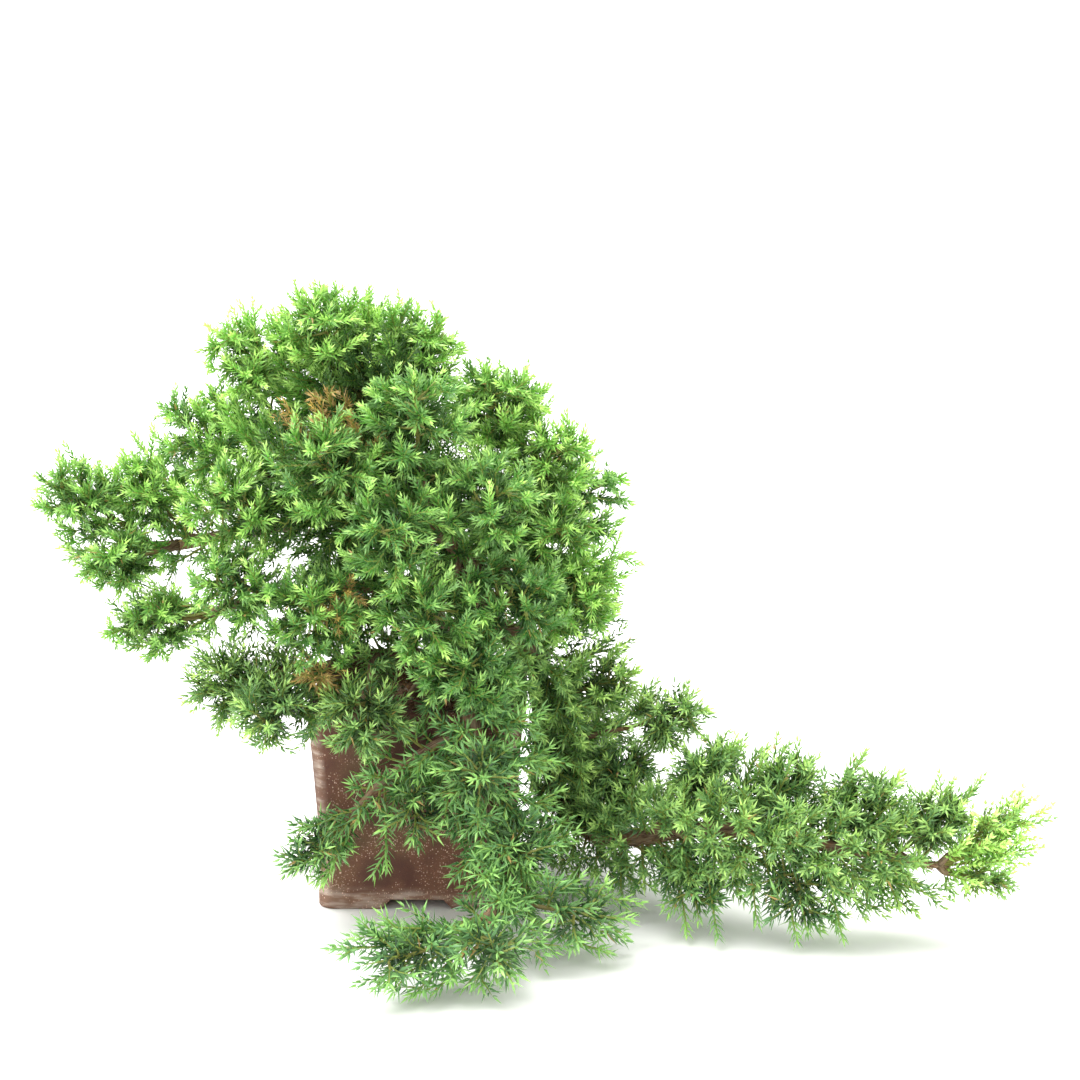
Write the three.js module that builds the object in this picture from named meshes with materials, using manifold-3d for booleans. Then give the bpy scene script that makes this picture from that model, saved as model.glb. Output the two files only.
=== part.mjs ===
// A procumbens nana juniper trained as a semi-cascade bonsai in a square unglazed pot.
// Millimetres, +Z up. The plant is laid out in the pot's own frame: the pot stands on z = 0 round
// the Z axis with its front face towards -Y, and the cascade runs to +X and towards the front.
// At the end everything is moved so that the origin is under the middle of the whole outline.

import * as THREE from 'three';
import { mergeVertices } from 'three/addons/utils/BufferGeometryUtils.js';
import Module from 'manifold-3d';

const wasm = await Module();
wasm.setup();

// Pot
const POT_HEIGHT = 133;
const RIM_HALF = 71;
const FOOT_HALF = 64.6;
const FOOT_HEIGHT = 12;
const FOOT_SHOULDER = 1.5;
const FOOT_SETBACK = 1.2;
const FOOT_RING = 11;
const RIM_BAND = 6;
const RIM_UNDERCUT = 2;
const RIM_SETBACK = 1.4;
const RIM_INNER_SLOPE = 3;
const FLARE = 1.5;
const WALL_LEVELS = [FOOT_HEIGHT, 50, 90, POT_HEIGHT - RIM_BAND - RIM_UNDERCUT];
const EASED_EDGE = 1;
const CORNER_CUT = 12;
const INNER_CORNER_CUT = 9;
const CORNER_STEPS = 3;
const WALL = 6.5;
const RIM_WALL = 8;
const FLOOR_BOTTOM = 6.5;
const FLOOR_TOP = 15;
const FLOOR_FILLET = 4;
const FLOOR_FILLET_WIDTH = 3;
const INSIDE_MIDDLE = 80;
const OVERSHOOT = 5;
const FOOT_GAP_WIDTH = 44;
const FOOT_GAP_SLOPE = 5;
const DRAIN_HOLE_RADIUS = 12;
const DRAIN_HOLE_SIDES = 24;

// Screen over the drain hole
const SCREEN_SIDE = 34;
const SCREEN_THICK = 1.2;
const SCREEN_HOLE = 4;
const SCREEN_PITCH = 6.6;
const SCREEN_HOLES_PER_SIDE = 4;

// Soil
const SOIL_EDGE_HEIGHT = 121;
const SOIL_CROWN_HEIGHT = 127;
const SOIL_EDGE_SLOPE = 3;
const SOIL_ROUGHNESS = 0.9;
const SOIL_RINGS = 3;
const SOIL_SEED = 411;

// Fits
const GAP = 0.3;
const SOIL_GAP = 0.5;
const TRUNK_HOLE_GAP = 0.36;
const SPRAY_CLEARANCE = 0.5;
const TWIG_CLEARANCE = 0.15;
const POT_CLEARANCE = 2;
const FLOOR_CLEARANCE = 4;

// Wood
const TRUNK_SIDES = 8;
const LIMB_SIDES = 5;
const BRANCH_SIDES = 3;
const BRANCH_MOST_RADIUS = 3.4;
const BRANCH_BEND_RADIUS = 2.4;
const BRANCH_RUN_IN = 0.4;
const BRANCH_BEND_SHARE = 0.6;
const RISE_OF_UNAIMED = 0.25;

// Stems and side twigs of the sprays, as shares of the stem and degrees off it
const STEM_RADIUS = 1.6;
const STEM_SHARE = 0.85;
const TWIG_RADIUS = 0.95;
const SIDE_TWIGS = 5;
const DRY_SIDE_TWIGS = 3;
const FIRST_TWIG_SHARE = 0.22;
const LAST_TWIG_SHARE = 0.72;
const WIDEST_OPENING = 100;
const CLOSEST_OPENING = 38;
const OPENING_SPREAD = 14;
const TURN_SPREAD = 0.5;
const LEAST_REACH = 0.9;
const REACH_SPREAD = 0.2;
const GOLDEN_ANGLE = THREE.MathUtils.degToRad(137.5);
const TWIG_ATTEMPTS = 40;
const SWING_STEP = 0.03;
const SHORTENING_STEP = 0.012;

// Needles, in whorls of three
const WHORL_LENGTH = 1.5;
const WHORL_TAPER = 0.92;
const WHORL_SPACING = 0.36;
const LOWER_STEM_WHORL = 0.84;
const TIP_SHARE_OF_NEEDLE = 0.8;
const NEEDLE_SPREADS = [46, 30, 18].map(THREE.MathUtils.degToRad);
const NEEDLE_TIP_RADIUS = 0.1;
const NEEDLES = {
  crown: { length: 7.5, colour: 0x4f8a35 },
  shaded: { length: 9, colour: 0x47803c },
  long: { length: 10.5, colour: 0x3f7a46 },
  dry: { length: 7.5, colour: 0xa8834a },
};

// Seeds of the random draws
const FIRST_SPRAY_SEED = 101;
const FIRST_DRY_SEED = 90001;
const SEED_STEP = 7919;
const TWIG_SEED_STEP = 31;

const FULL_TURN = 2 * Math.PI;
const THIRD_TURN = FULL_TURN / 3;
const STEEP = 0.9;
const STEM = -1;
const UP = new THREE.Vector3(0, 0, 1);

const vec = (x, y, z) => new THREE.Vector3(x, y, z);
const mix = (a, b, t) => a.clone().lerp(b, t);
const { lerp, degToRad } = THREE.MathUtils;

// Seeded draws between 0 and 1, from a linear congruential rule, so that the plant is the same
// each time

function makeDraw(seed) {
  let state = seed >>> 0;
  return () => {
    state = (Math.imul(state, 1664525) + 1013904223) >>> 0;
    return state / 2 ** 32;
  };
}

// A direction to measure turns from, which is not along the given one.
function crossing(along) {
  return Math.abs(along.z) < STEEP ? UP.clone() : vec(1, 0, 0);
}

// Solids

function solidOf(geometry) {
  const bare = geometry.clone();
  bare.deleteAttribute('normal');
  bare.deleteAttribute('uv');
  const merged = mergeVertices(bare, 1e-4);
  return new wasm.Manifold(new wasm.Mesh({
    numProp: 3,
    vertProperties: new Float32Array(merged.attributes.position.array),
    triVerts: new Uint32Array(merged.index.array),
  }));
}

function geometryOf(solid) {
  const mesh = solid.getMesh();
  const geometry = new THREE.BufferGeometry();
  geometry.setAttribute('position', new THREE.BufferAttribute(mesh.vertProperties, 3));
  geometry.setIndex(new THREE.BufferAttribute(mesh.triVerts, 1));
  geometry.computeVertexNormals();
  return geometry;
}

function joined(solids) {
  return wasm.Manifold.union(solids);
}

function geometryFrom(points, triangles) {
  const places = points.flatMap((point) => point.toArray());
  const geometry = new THREE.BufferGeometry();
  geometry.setAttribute('position', new THREE.Float32BufferAttribute(places, 3));
  geometry.setIndex(triangles.flat());
  return geometry;
}

// A closed skin over rings of points that have the same count, from bottom to top.
// A ring of one point closes to a tip; other ends get a flat cap.
function skin(rings) {
  const points = rings.flat();
  const triangles = [];
  let start = 0;
  for (let i = 0; i + 1 < rings.length; i += 1) {
    const count = rings[i].length;
    const next = start + count;
    for (let k = 0; k < count; k += 1) {
      const l = (k + 1) % count;
      if (rings[i + 1].length === 1) {
        triangles.push([start + k, start + l, next]);
      } else {
        triangles.push([start + k, start + l, next + l], [start + k, next + l, next + k]);
      }
    }
    start = next;
  }
  for (let k = 1; k + 1 < rings[0].length; k += 1) triangles.push([0, k + 1, k]);
  const last = rings[rings.length - 1].length;
  for (let k = 1; k + 1 < last; k += 1) triangles.push([start, start + k, start + k + 1]);
  return geometryFrom(points, triangles);
}

// Rings of a round tube through the points, with a radius at each. The last ring can be turned
// to face along endAim.
function tubeRings(path, radii, sides, endAim) {
  const rings = [];
  let across = null;
  path.forEach((point, i) => {
    const before = path[Math.max(i - 1, 0)];
    const after = path[Math.min(i + 1, path.length - 1)];
    const isEnd = i === path.length - 1;
    const along = isEnd && endAim ? endAim.clone() : after.clone().sub(before).normalize();
    if (!across) across = crossing(along);
    across = across.clone().addScaledVector(along, -across.dot(along)).normalize();
    const third = along.clone().cross(across);
    const ring = [];
    for (let k = 0; k < sides; k += 1) {
      const angle = (k / sides) * FULL_TURN;
      ring.push(point.clone()
        .addScaledVector(across, Math.cos(angle) * radii[i])
        .addScaledVector(third, Math.sin(angle) * radii[i]));
    }
    rings.push(ring);
  });
  return rings;
}

function tube(path, radii, sides, endAim) {
  return solidOf(skin(tubeRings(path, radii, sides, endAim)));
}

// Pot, a square with cut and rounded corners that flares gently upwards

function squareOutline(half, cut, z) {
  const outline = [];
  for (let side = 0; side < 4; side += 1) {
    for (let step = 0; step <= CORNER_STEPS; step += 1) {
      const angle = (step / CORNER_STEPS) * (Math.PI / 2);
      const x = half - cut + cut * Math.cos(angle);
      const y = half - cut + cut * Math.sin(angle);
      outline.push(vec(x, y, z).applyAxisAngle(UP, side * (Math.PI / 2)));
    }
  }
  return outline;
}

function potWallHalf(z) {
  const rise = (z - FOOT_HEIGHT) / (POT_HEIGHT - FOOT_HEIGHT);
  return lerp(FOOT_HALF - FOOT_SETBACK, RIM_HALF - RIM_SETBACK, rise ** FLARE);
}

function potInsideHalf(z) {
  return potWallHalf(z) - WALL;
}

// The foot ring is cut through under the middle of each side, which leaves four corner feet.
function footPassages() {
  const half = FOOT_GAP_WIDTH / 2;
  const shoulder = FLOOR_BOTTOM - FOOT_GAP_SLOPE;
  const gap = new THREE.Shape([
    new THREE.Vector2(-half, -OVERSHOOT),
    new THREE.Vector2(half, -OVERSHOOT),
    new THREE.Vector2(half, shoulder),
    new THREE.Vector2(half - FOOT_GAP_SLOPE, FLOOR_BOTTOM),
    new THREE.Vector2(FOOT_GAP_SLOPE - half, FLOOR_BOTTOM),
    new THREE.Vector2(-half, shoulder),
  ]);
  return [0, Math.PI / 2].map((turn) => {
    const passage = new THREE.ExtrudeGeometry(gap, { depth: 3 * RIM_HALF, bevelEnabled: false });
    passage.translate(0, 0, -1.5 * RIM_HALF);
    passage.rotateX(Math.PI / 2);
    passage.rotateZ(turn);
    return solidOf(passage);
  });
}

function makePot() {
  const rimBottom = POT_HEIGHT - RIM_BAND;
  const levels = [
    [FOOT_HALF - EASED_EDGE, 0],
    [FOOT_HALF, EASED_EDGE],
    [FOOT_HALF, FOOT_HEIGHT - FOOT_SHOULDER],
    ...WALL_LEVELS.map((z) => [potWallHalf(z), z]),
    [RIM_HALF, rimBottom],
    [RIM_HALF, POT_HEIGHT - EASED_EDGE],
    [RIM_HALF - EASED_EDGE, POT_HEIGHT],
  ];
  const inner = [
    [potInsideHalf(FLOOR_TOP) - FLOOR_FILLET_WIDTH, FLOOR_TOP],
    [potInsideHalf(FLOOR_TOP + FLOOR_FILLET), FLOOR_TOP + FLOOR_FILLET],
    [potInsideHalf(INSIDE_MIDDLE), INSIDE_MIDDLE],
    [potInsideHalf(rimBottom - RIM_INNER_SLOPE), rimBottom - RIM_INNER_SLOPE],
    [RIM_HALF - RIM_WALL, rimBottom + EASED_EDGE],
    [RIM_HALF - RIM_WALL, POT_HEIGHT + OVERSHOOT],
  ];
  const below = [
    [FOOT_HALF - FOOT_RING, -OVERSHOOT],
    [FOOT_HALF - FOOT_RING, FLOOR_BOTTOM],
  ];
  const block = (rows, cut) => solidOf(skin(rows.map(([half, z]) => squareOutline(half, cut, z))));
  const drain = new THREE.CylinderGeometry(
    DRAIN_HOLE_RADIUS,
    DRAIN_HOLE_RADIUS,
    2 * (FLOOR_TOP + OVERSHOOT),
    DRAIN_HOLE_SIDES,
  );
  drain.rotateX(Math.PI / 2);
  return block(levels, CORNER_CUT)
    .subtract(block(inner, INNER_CORNER_CUT))
    .subtract(block(below, INNER_CORNER_CUT))
    .subtract(solidOf(drain))
    .subtract(joined(footPassages()));
}

// Plastic screen that keeps the soil out of the drain hole

function makeScreen() {
  const plate = new THREE.BoxGeometry(SCREEN_SIDE, SCREEN_SIDE, SCREEN_THICK);
  const middle = (SCREEN_HOLES_PER_SIDE - 1) / 2;
  const openings = [];
  for (let i = 0; i < SCREEN_HOLES_PER_SIDE; i += 1) {
    for (let k = 0; k < SCREEN_HOLES_PER_SIDE; k += 1) {
      const opening = new THREE.BoxGeometry(SCREEN_HOLE, SCREEN_HOLE, 3 * SCREEN_THICK);
      opening.translate((i - middle) * SCREEN_PITCH, (k - middle) * SCREEN_PITCH, 0);
      openings.push(solidOf(opening));
    }
  }
  const height = FLOOR_TOP + GAP + SCREEN_THICK / 2;
  return solidOf(plate).subtract(joined(openings)).translate([0, 0, height]);
}

// Wood. Each limb is a route with a radius at each point.

const route = (...rows) => rows.map(([x, y, z, radius]) => ({ point: vec(x, y, z), radius }));

const LIMBS = {
  trunk: route([8, 6, 84, 13], [9, 6, 122, 16], [12, 5, 133, 13], [20, 5, 150, 11.5], [31, 5, 170, 11],
    [37, 5, 192, 10], [33, 4, 215, 9], [20, 3, 238, 8], [4, 4, 262, 7], [-14, 4, 288, 5.6],
    [-26, 2, 316, 4.2], [-30, 0, 340, 3]),
  cascade: route([28, 5, 160, 9], [48, 7, 171, 8.4], [66, 8, 163, 7.6], [78, 8, 142, 7], [81, 7, 114, 6.6],
    [86, 4, 84, 6.5], [94, -2, 56, 6.4], [108, -16, 41, 6.2], [128, -40, 40, 5.8], [150, -66, 50, 5.4],
    [176, -88, 61, 5], [204, -103, 65, 4.6], [234, -112, 63, 4.2], [262, -118, 59, 3.8],
    [290, -120, 55, 3.4], [314, -119, 50, 3.1], [334, -117, 46, 2.8]),
  leftArm: route([12, 3, 248, 6], [-18, -6, 252, 5.4], [-55, -12, 250, 4.8], [-92, -14, 244, 4.4],
    [-126, -11, 238, 4], [-156, -9, 231, 3.6], [-182, -9, 230, 3]),
  leftUnder: route([34, 2, 204, 6], [4, -14, 206, 5.2], [-38, -28, 206, 4.6], [-78, -36, 202, 4],
    [-112, -40, 198, 3.3], [-132, -40, 192, 2.8]),
  leftSkirt: route([18, 2, 148, 6.5], [-8, -16, 158, 5.6], [-44, -32, 158, 4.8], [-76, -46, 150, 4],
    [-94, -52, 146, 3.2]),
  frontFall: route([20, 0, 150, 7], [28, -34, 162, 6.4], [33, -66, 153, 6], [38, -91, 128, 5.4],
    [42, -104, 98, 5], [50, -116, 70, 4.6], [58, -134, 48, 4.2], [54, -162, 36, 3.8], [44, -186, 32, 3]),
  crownLeft: route([26, 3, 228, 6], [0, -16, 252, 5.2], [-38, -34, 270, 4.4], [-74, -38, 282, 3.4]),
  crownFront: route([35, 3, 208, 6], [32, -26, 226, 5.4], [22, -50, 240, 4.8], [10, -62, 262, 4],
    [4, -58, 286, 3]),
  crownRight: route([36, 5, 198, 6.4], [56, 2, 216, 5.6], [70, 0, 240, 4.8], [72, 0, 268, 4],
    [62, 4, 292, 3]),
  backRight: route([36, 7, 190, 6.4], [48, 30, 208, 5.4], [54, 54, 224, 4.6], [50, 68, 250, 3.4]),
  backLeft: route([12, 5, 250, 6], [-12, 28, 256, 5], [-38, 50, 262, 4.2], [-60, 56, 274, 3.2]),
  backLow: route([22, 8, 156, 6.4], [14, 36, 168, 5.4], [-4, 60, 174, 4.4], [-24, 68, 178, 3.2]),
  faceTwig: route([38, -92, 126, 3.6], [12, -92, 116, 3.2], [-16, -92, 96, 2.8], [-34, -93, 78, 2.3]),
};

function limbPoint(limb, share) {
  const rows = LIMBS[limb];
  const place = share * (rows.length - 1);
  const i = Math.min(Math.floor(place), rows.length - 2);
  return {
    point: mix(rows[i].point, rows[i + 1].point, place - i),
    radius: lerp(rows[i].radius, rows[i + 1].radius, place - i),
  };
}

// Sprays. Each row: limb and share along it that the spray grows from, then the middle of the
// spray, how far it reaches along its stem, sideways and in depth, and where its stem aims.
// Without an aim the stem points away from the limb and a little up.

const SPRAYS = {
  top_spray: {
    needles: 'crown',
    rows: [
      ['trunk', 0.9, -106, -4, 352, 38, 40, 34],
      ['trunk', 0.95, -56, -14, 368, 34, 36, 34],
      ['trunk', 0.98, -4, -8, 354, 36, 38, 36],
      ['trunk', 0.93, -38, 46, 352, 36, 40, 36],
    ],
  },
  left_spray: {
    needles: 'crown',
    rows: [
      ['crownLeft', 0.8, -136, -6, 300, 40, 38, 34],
      ['crownLeft', 0.95, -112, -54, 262, 38, 36, 36],
      ['leftUnder', 0.55, -62, -82, 198, 36, 36, 36],
      ['leftUnder', 0.8, -112, -62, 212, 32, 32, 32, [-0.7, -0.6, 0.3]],
    ],
  },
  front_spray: {
    needles: 'crown',
    rows: [
      ['crownLeft', 0.6, -50, -86, 290, 36, 38, 36],
      ['crownFront', 0.98, 4, -82, 318, 36, 40, 36],
      ['crownFront', 0.6, -8, -104, 252, 36, 38, 36],
      ['crownFront', 0.7, 46, -90, 270, 36, 38, 36],
      ['crownFront', 0.35, 14, -108, 204, 36, 38, 36],
      ['crownFront', 0.3, 62, -88, 208, 36, 38, 36],
      ['frontFall', 0.24, 34, -106, 166, 32, 36, 30],
    ],
  },
  right_spray: {
    needles: 'crown',
    rows: [
      ['crownRight', 0.98, 52, -16, 320, 34, 36, 34],
      ['crownRight', 0.7, 84, -20, 286, 32, 32, 32],
      ['crownRight', 0.5, 86, -34, 242, 34, 34, 34],
      ['crownRight', 0.2, 100, -30, 198, 34, 36, 34],
    ],
  },
  skirt_spray: {
    needles: 'shaded',
    rows: [
      ['leftSkirt', 0.98, -116, -48, 146, 36, 34, 30, [-0.8, -0.2, -0.25]],
      ['leftSkirt', 0.7, -84, -82, 138, 32, 32, 28, [-0.5, -0.7, -0.3]],
      ['leftSkirt', 0.35, -28, -98, 138, 32, 32, 24, [0, -0.75, -0.65]],
    ],
  },
  arm_spray: {
    needles: 'shaded',
    rows: [
      ['leftArm', 0.98, -216, -12, 258, 38, 30, 30, [-0.85, -0.1, 0.5]],
      ['leftArm', 0.75, -172, -4, 262, 32, 30, 28, [-0.6, 0, 0.8]],
      ['leftArm', 0.85, -190, -34, 224, 30, 26, 22, [-0.8, -0.35, -0.2]],
      ['leftUnder', 0.98, -166, -38, 184, 38, 26, 24, [-0.95, 0, -0.15]],
    ],
  },
  back_spray: {
    needles: 'crown',
    rows: [
      ['backLeft', 0.98, -100, 44, 312, 38, 38, 36],
      ['backLeft', 0.8, -32, 94, 306, 38, 40, 36],
      ['backRight', 0.98, 44, 86, 302, 38, 40, 36],
      ['backLeft', 0.7, -94, 72, 246, 38, 38, 36],
      ['backLeft', 0.5, -20, 110, 240, 38, 38, 36],
      ['backRight', 0.8, 62, 98, 234, 38, 38, 36],
      ['crownRight', 0.3, 106, 46, 248, 36, 38, 36],
      ['backLow', 0.98, -62, 88, 178, 38, 38, 34],
      ['backLow', 0.5, 24, 104, 172, 38, 38, 34],
      ['backRight', 0.3, 100, 58, 184, 38, 38, 34],
    ],
  },
  face_spray: {
    needles: 'long',
    rows: [
      ['faceTwig', 0.98, -60, -98, 54, 28, 24, 20, [-0.7, -0.15, -0.6]],
      ['faceTwig', 0.5, 2, -106, 84, 28, 28, 20, [0.1, -0.4, -0.8]],
      ['frontFall', 0.55, 66, -136, 66, 26, 28, 24, [0.3, -0.8, -0.1]],
      ['frontFall', 0.4, 44, -128, 110, 26, 28, 24, [0.1, -0.8, 0.1]],
    ],
  },
  low_spray: {
    needles: 'long',
    rows: [
      ['frontFall', 0.98, 8, -222, 30, 38, 30, 20, [-0.75, -0.6, 0.02]],
      ['frontFall', 0.9, 54, -222, 32, 32, 28, 20, [0.1, -0.9, 0]],
      ['frontFall', 0.78, 100, -164, 34, 36, 30, 24, [0.9, -0.25, -0.05]],
    ],
  },
  shoulder_spray: {
    needles: 'shaded',
    rows: [
      ['cascade', 0.22, 118, -18, 138, 32, 30, 28, [0.85, -0.3, 0.35]],
      ['cascade', 0.3, 160, -46, 122, 34, 30, 26, [0.85, -0.4, 0.3]],
    ],
  },
  cascade_spray: {
    needles: 'shaded',
    rows: [
      ['cascade', 0.4, 132, -34, 82, 32, 28, 24, [0.75, -0.3, 0.6]],
      ['cascade', 0.56, 184, -78, 92, 32, 30, 24, [0.6, -0.2, 0.75]],
      ['cascade', 0.68, 232, -104, 90, 32, 28, 24, [0.65, 0, 0.7]],
      ['cascade', 0.8, 278, -114, 82, 32, 28, 24, [0.7, 0, 0.65]],
      ['cascade', 0.92, 324, -114, 72, 30, 26, 22, [0.75, 0.1, 0.6]],
    ],
  },
  tip_spray: {
    needles: 'shaded',
    rows: [
      ['cascade', 0.98, 360, -121, 74, 32, 18, 18, [0.8, -0.1, 0.6]],
      ['cascade', 0.98, 354, -118, 38, 24, 15, 15, [0.9, 0.05, -0.2]],
    ],
  },
  hanging_spray: {
    needles: 'long',
    rows: [
      ['cascade', 0.58, 176, -108, 34, 26, 30, 20, [0.1, -0.5, -0.75]],
      ['cascade', 0.72, 240, -128, 34, 26, 36, 20, [0.15, -0.4, -0.8]],
    ],
  },
};

const DRY_TWIGS = {
  dry_twig: {
    needles: 'dry',
    rows: [
      ['leftSkirt', 0.4, -60, -84, 160, 16, 18, 12, [-0.6, -0.75, 0.2]],
      ['crownLeft', 0.45, -50, -50, 322, 18, 18, 14, [-0.2, -0.5, 0.85]],
    ],
  },
};

// Where one spray's stem starts and aims, and the short branch of wood that carries it.
function placeSpray(name, seed, needles, row, twigCount) {
  const [limb, share, x, y, z, along, across, deep, aimed] = row;
  const source = limbPoint(limb, share);
  const middle = vec(x, y, z);
  const away = middle.clone().sub(source.point).normalize();
  const aim = (aimed ? vec(...aimed) : away.addScaledVector(UP, RISE_OF_UNAIMED)).normalize();
  const root = middle.clone().addScaledVector(aim, -STEM_SHARE * along);
  const start = root.clone().addScaledVector(aim, GAP);
  const tip = middle.clone().addScaledVector(aim, along);
  const side = aim.clone().cross(UP).normalize();
  const lift = side.clone().cross(aim);
  const runIn = BRANCH_RUN_IN * source.point.distanceTo(root);
  const behind = root.clone().addScaledVector(aim, -runIn);
  const bend = mix(mix(source.point, root, 0.5), behind, BRANCH_BEND_SHARE);
  return {
    name,
    seed,
    needles: NEEDLES[needles],
    twigCount,
    start,
    tip,
    aim,
    side,
    lift,
    middle,
    along,
    across,
    deep,
    branch: [source.point, bend, root],
    branchRadii: [Math.min(source.radius, BRANCH_MOST_RADIUS), BRANCH_BEND_RADIUS, STEM_RADIUS],
  };
}

function placeSprays(table, firstSeed, twigCount) {
  const placed = [];
  for (const [kind, { needles, rows }] of Object.entries(table)) {
    rows.forEach((row, i) => {
      const seed = firstSeed + SEED_STEP * placed.length;
      placed.push(placeSpray(`${kind}_${i + 1}`, seed, needles, row, twigCount));
    });
  }
  return placed;
}

// Side twigs leave the stem in a spiral, the lower ones wide and the upper ones close.
function sideTwigs(spray) {
  const draw = makeDraw(spray.seed);
  const phase = draw() * FULL_TURN;
  const twigs = [];
  for (let i = 0; i < spray.twigCount; i += 1) {
    const step = i / (spray.twigCount - 1);
    const share = lerp(FIRST_TWIG_SHARE, LAST_TWIG_SHARE, step);
    const degrees = lerp(WIDEST_OPENING, CLOSEST_OPENING, step) + OPENING_SPREAD * (draw() - 0.5);
    const opening = degToRad(degrees);
    const turn = phase + i * GOLDEN_ANGLE + TURN_SPREAD * (draw() - 0.5);
    const reach = LEAST_REACH + REACH_SPREAD * draw();
    const end = spray.middle.clone()
      .addScaledVector(spray.aim, Math.cos(opening) * spray.along * reach)
      .addScaledVector(spray.side, Math.sin(opening) * Math.cos(turn) * spray.across * reach)
      .addScaledVector(spray.lift, Math.sin(opening) * Math.sin(turn) * spray.deep * reach);
    twigs.push({ share, start: mix(spray.start, spray.tip, share), end, whorls: 1 + (i % 2) });
  }
  return twigs;
}

// Clearances. A rod is a straight piece with a radius at each end. It belongs to a node and to
// one twig of it, and rods of the same twig are never set against each other.

const rods = [];

function rodGap(a, b) {
  const u = a.to.clone().sub(a.from);
  const v = b.to.clone().sub(b.from);
  const w = a.from.clone().sub(b.from);
  const uu = u.dot(u);
  const vv = v.dot(v);
  const uv = u.dot(v);
  const uw = u.dot(w);
  const vw = v.dot(w);
  const clamp = (value) => THREE.MathUtils.clamp(value, 0, 1);
  const spread = uu * vv - uv * uv;
  let s = spread > 1e-9 ? clamp((uv * vw - vv * uw) / spread) : 0;
  const t = clamp((uv * s + vw) / vv);
  s = clamp((uv * t - uw) / uu);
  const onA = a.from.clone().addScaledVector(u, s);
  const onB = b.from.clone().addScaledVector(v, t);
  return onA.distanceTo(onB) - lerp(a.fromRadius, a.toRadius, s) - lerp(b.fromRadius, b.toRadius, t);
}

function clearOfPotAndFloor(rod) {
  return [0, 0.25, 0.5, 0.75, 1].every((share) => {
    const point = mix(rod.from, rod.to, share);
    const margin = POT_CLEARANCE + rod.fromRadius;
    const overPot = Math.max(Math.abs(point.x), Math.abs(point.y)) < RIM_HALF + margin;
    const inPot = overPot && point.z < POT_HEIGHT + margin;
    return !inPot && point.z > FLOOR_CLEARANCE;
  });
}

function isClear(rod) {
  return clearOfPotAndFloor(rod) && rods.every((other) => {
    if (other.owner !== rod.owner) return rodGap(rod, other) > SPRAY_CLEARANCE;
    const grown = other.twig === rod.twig || (rod.isTwig && other.twig === STEM);
    return grown || rodGap(rod, other) > TWIG_CLEARANCE;
  });
}

function addRods(owner, path, radii) {
  for (let i = 0; i + 1 < path.length; i += 1) {
    rods.push({ owner, from: path[i], to: path[i + 1], fromRadius: radii[i], toRadius: radii[i + 1] });
  }
}

// A side twig is swung and then shortened until it is clear of all that was placed before it.
function settledTwig(spray, twig, index) {
  const draw = makeDraw(spray.seed + TWIG_SEED_STEP * (index + 1));
  const full = twig.end.distanceTo(twig.start);
  const aimed = twig.end.clone().sub(twig.start).normalize();
  for (let attempt = 0; attempt < TWIG_ATTEMPTS; attempt += 1) {
    const swing = vec(draw() - 0.5, draw() - 0.5, draw() - 0.5);
    const way = aimed.clone().addScaledVector(swing, SWING_STEP * attempt).normalize();
    const rod = {
      owner: spray.name,
      twig: index,
      isTwig: true,
      from: twig.start,
      to: twig.start.clone().addScaledVector(way, full * (1 - SHORTENING_STEP * attempt)),
      fromRadius: TWIG_RADIUS,
      toRadius: TWIG_RADIUS,
    };
    if (isClear(rod)) return { ...twig, index, end: rod.to, rod };
  }
  return null;
}

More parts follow.
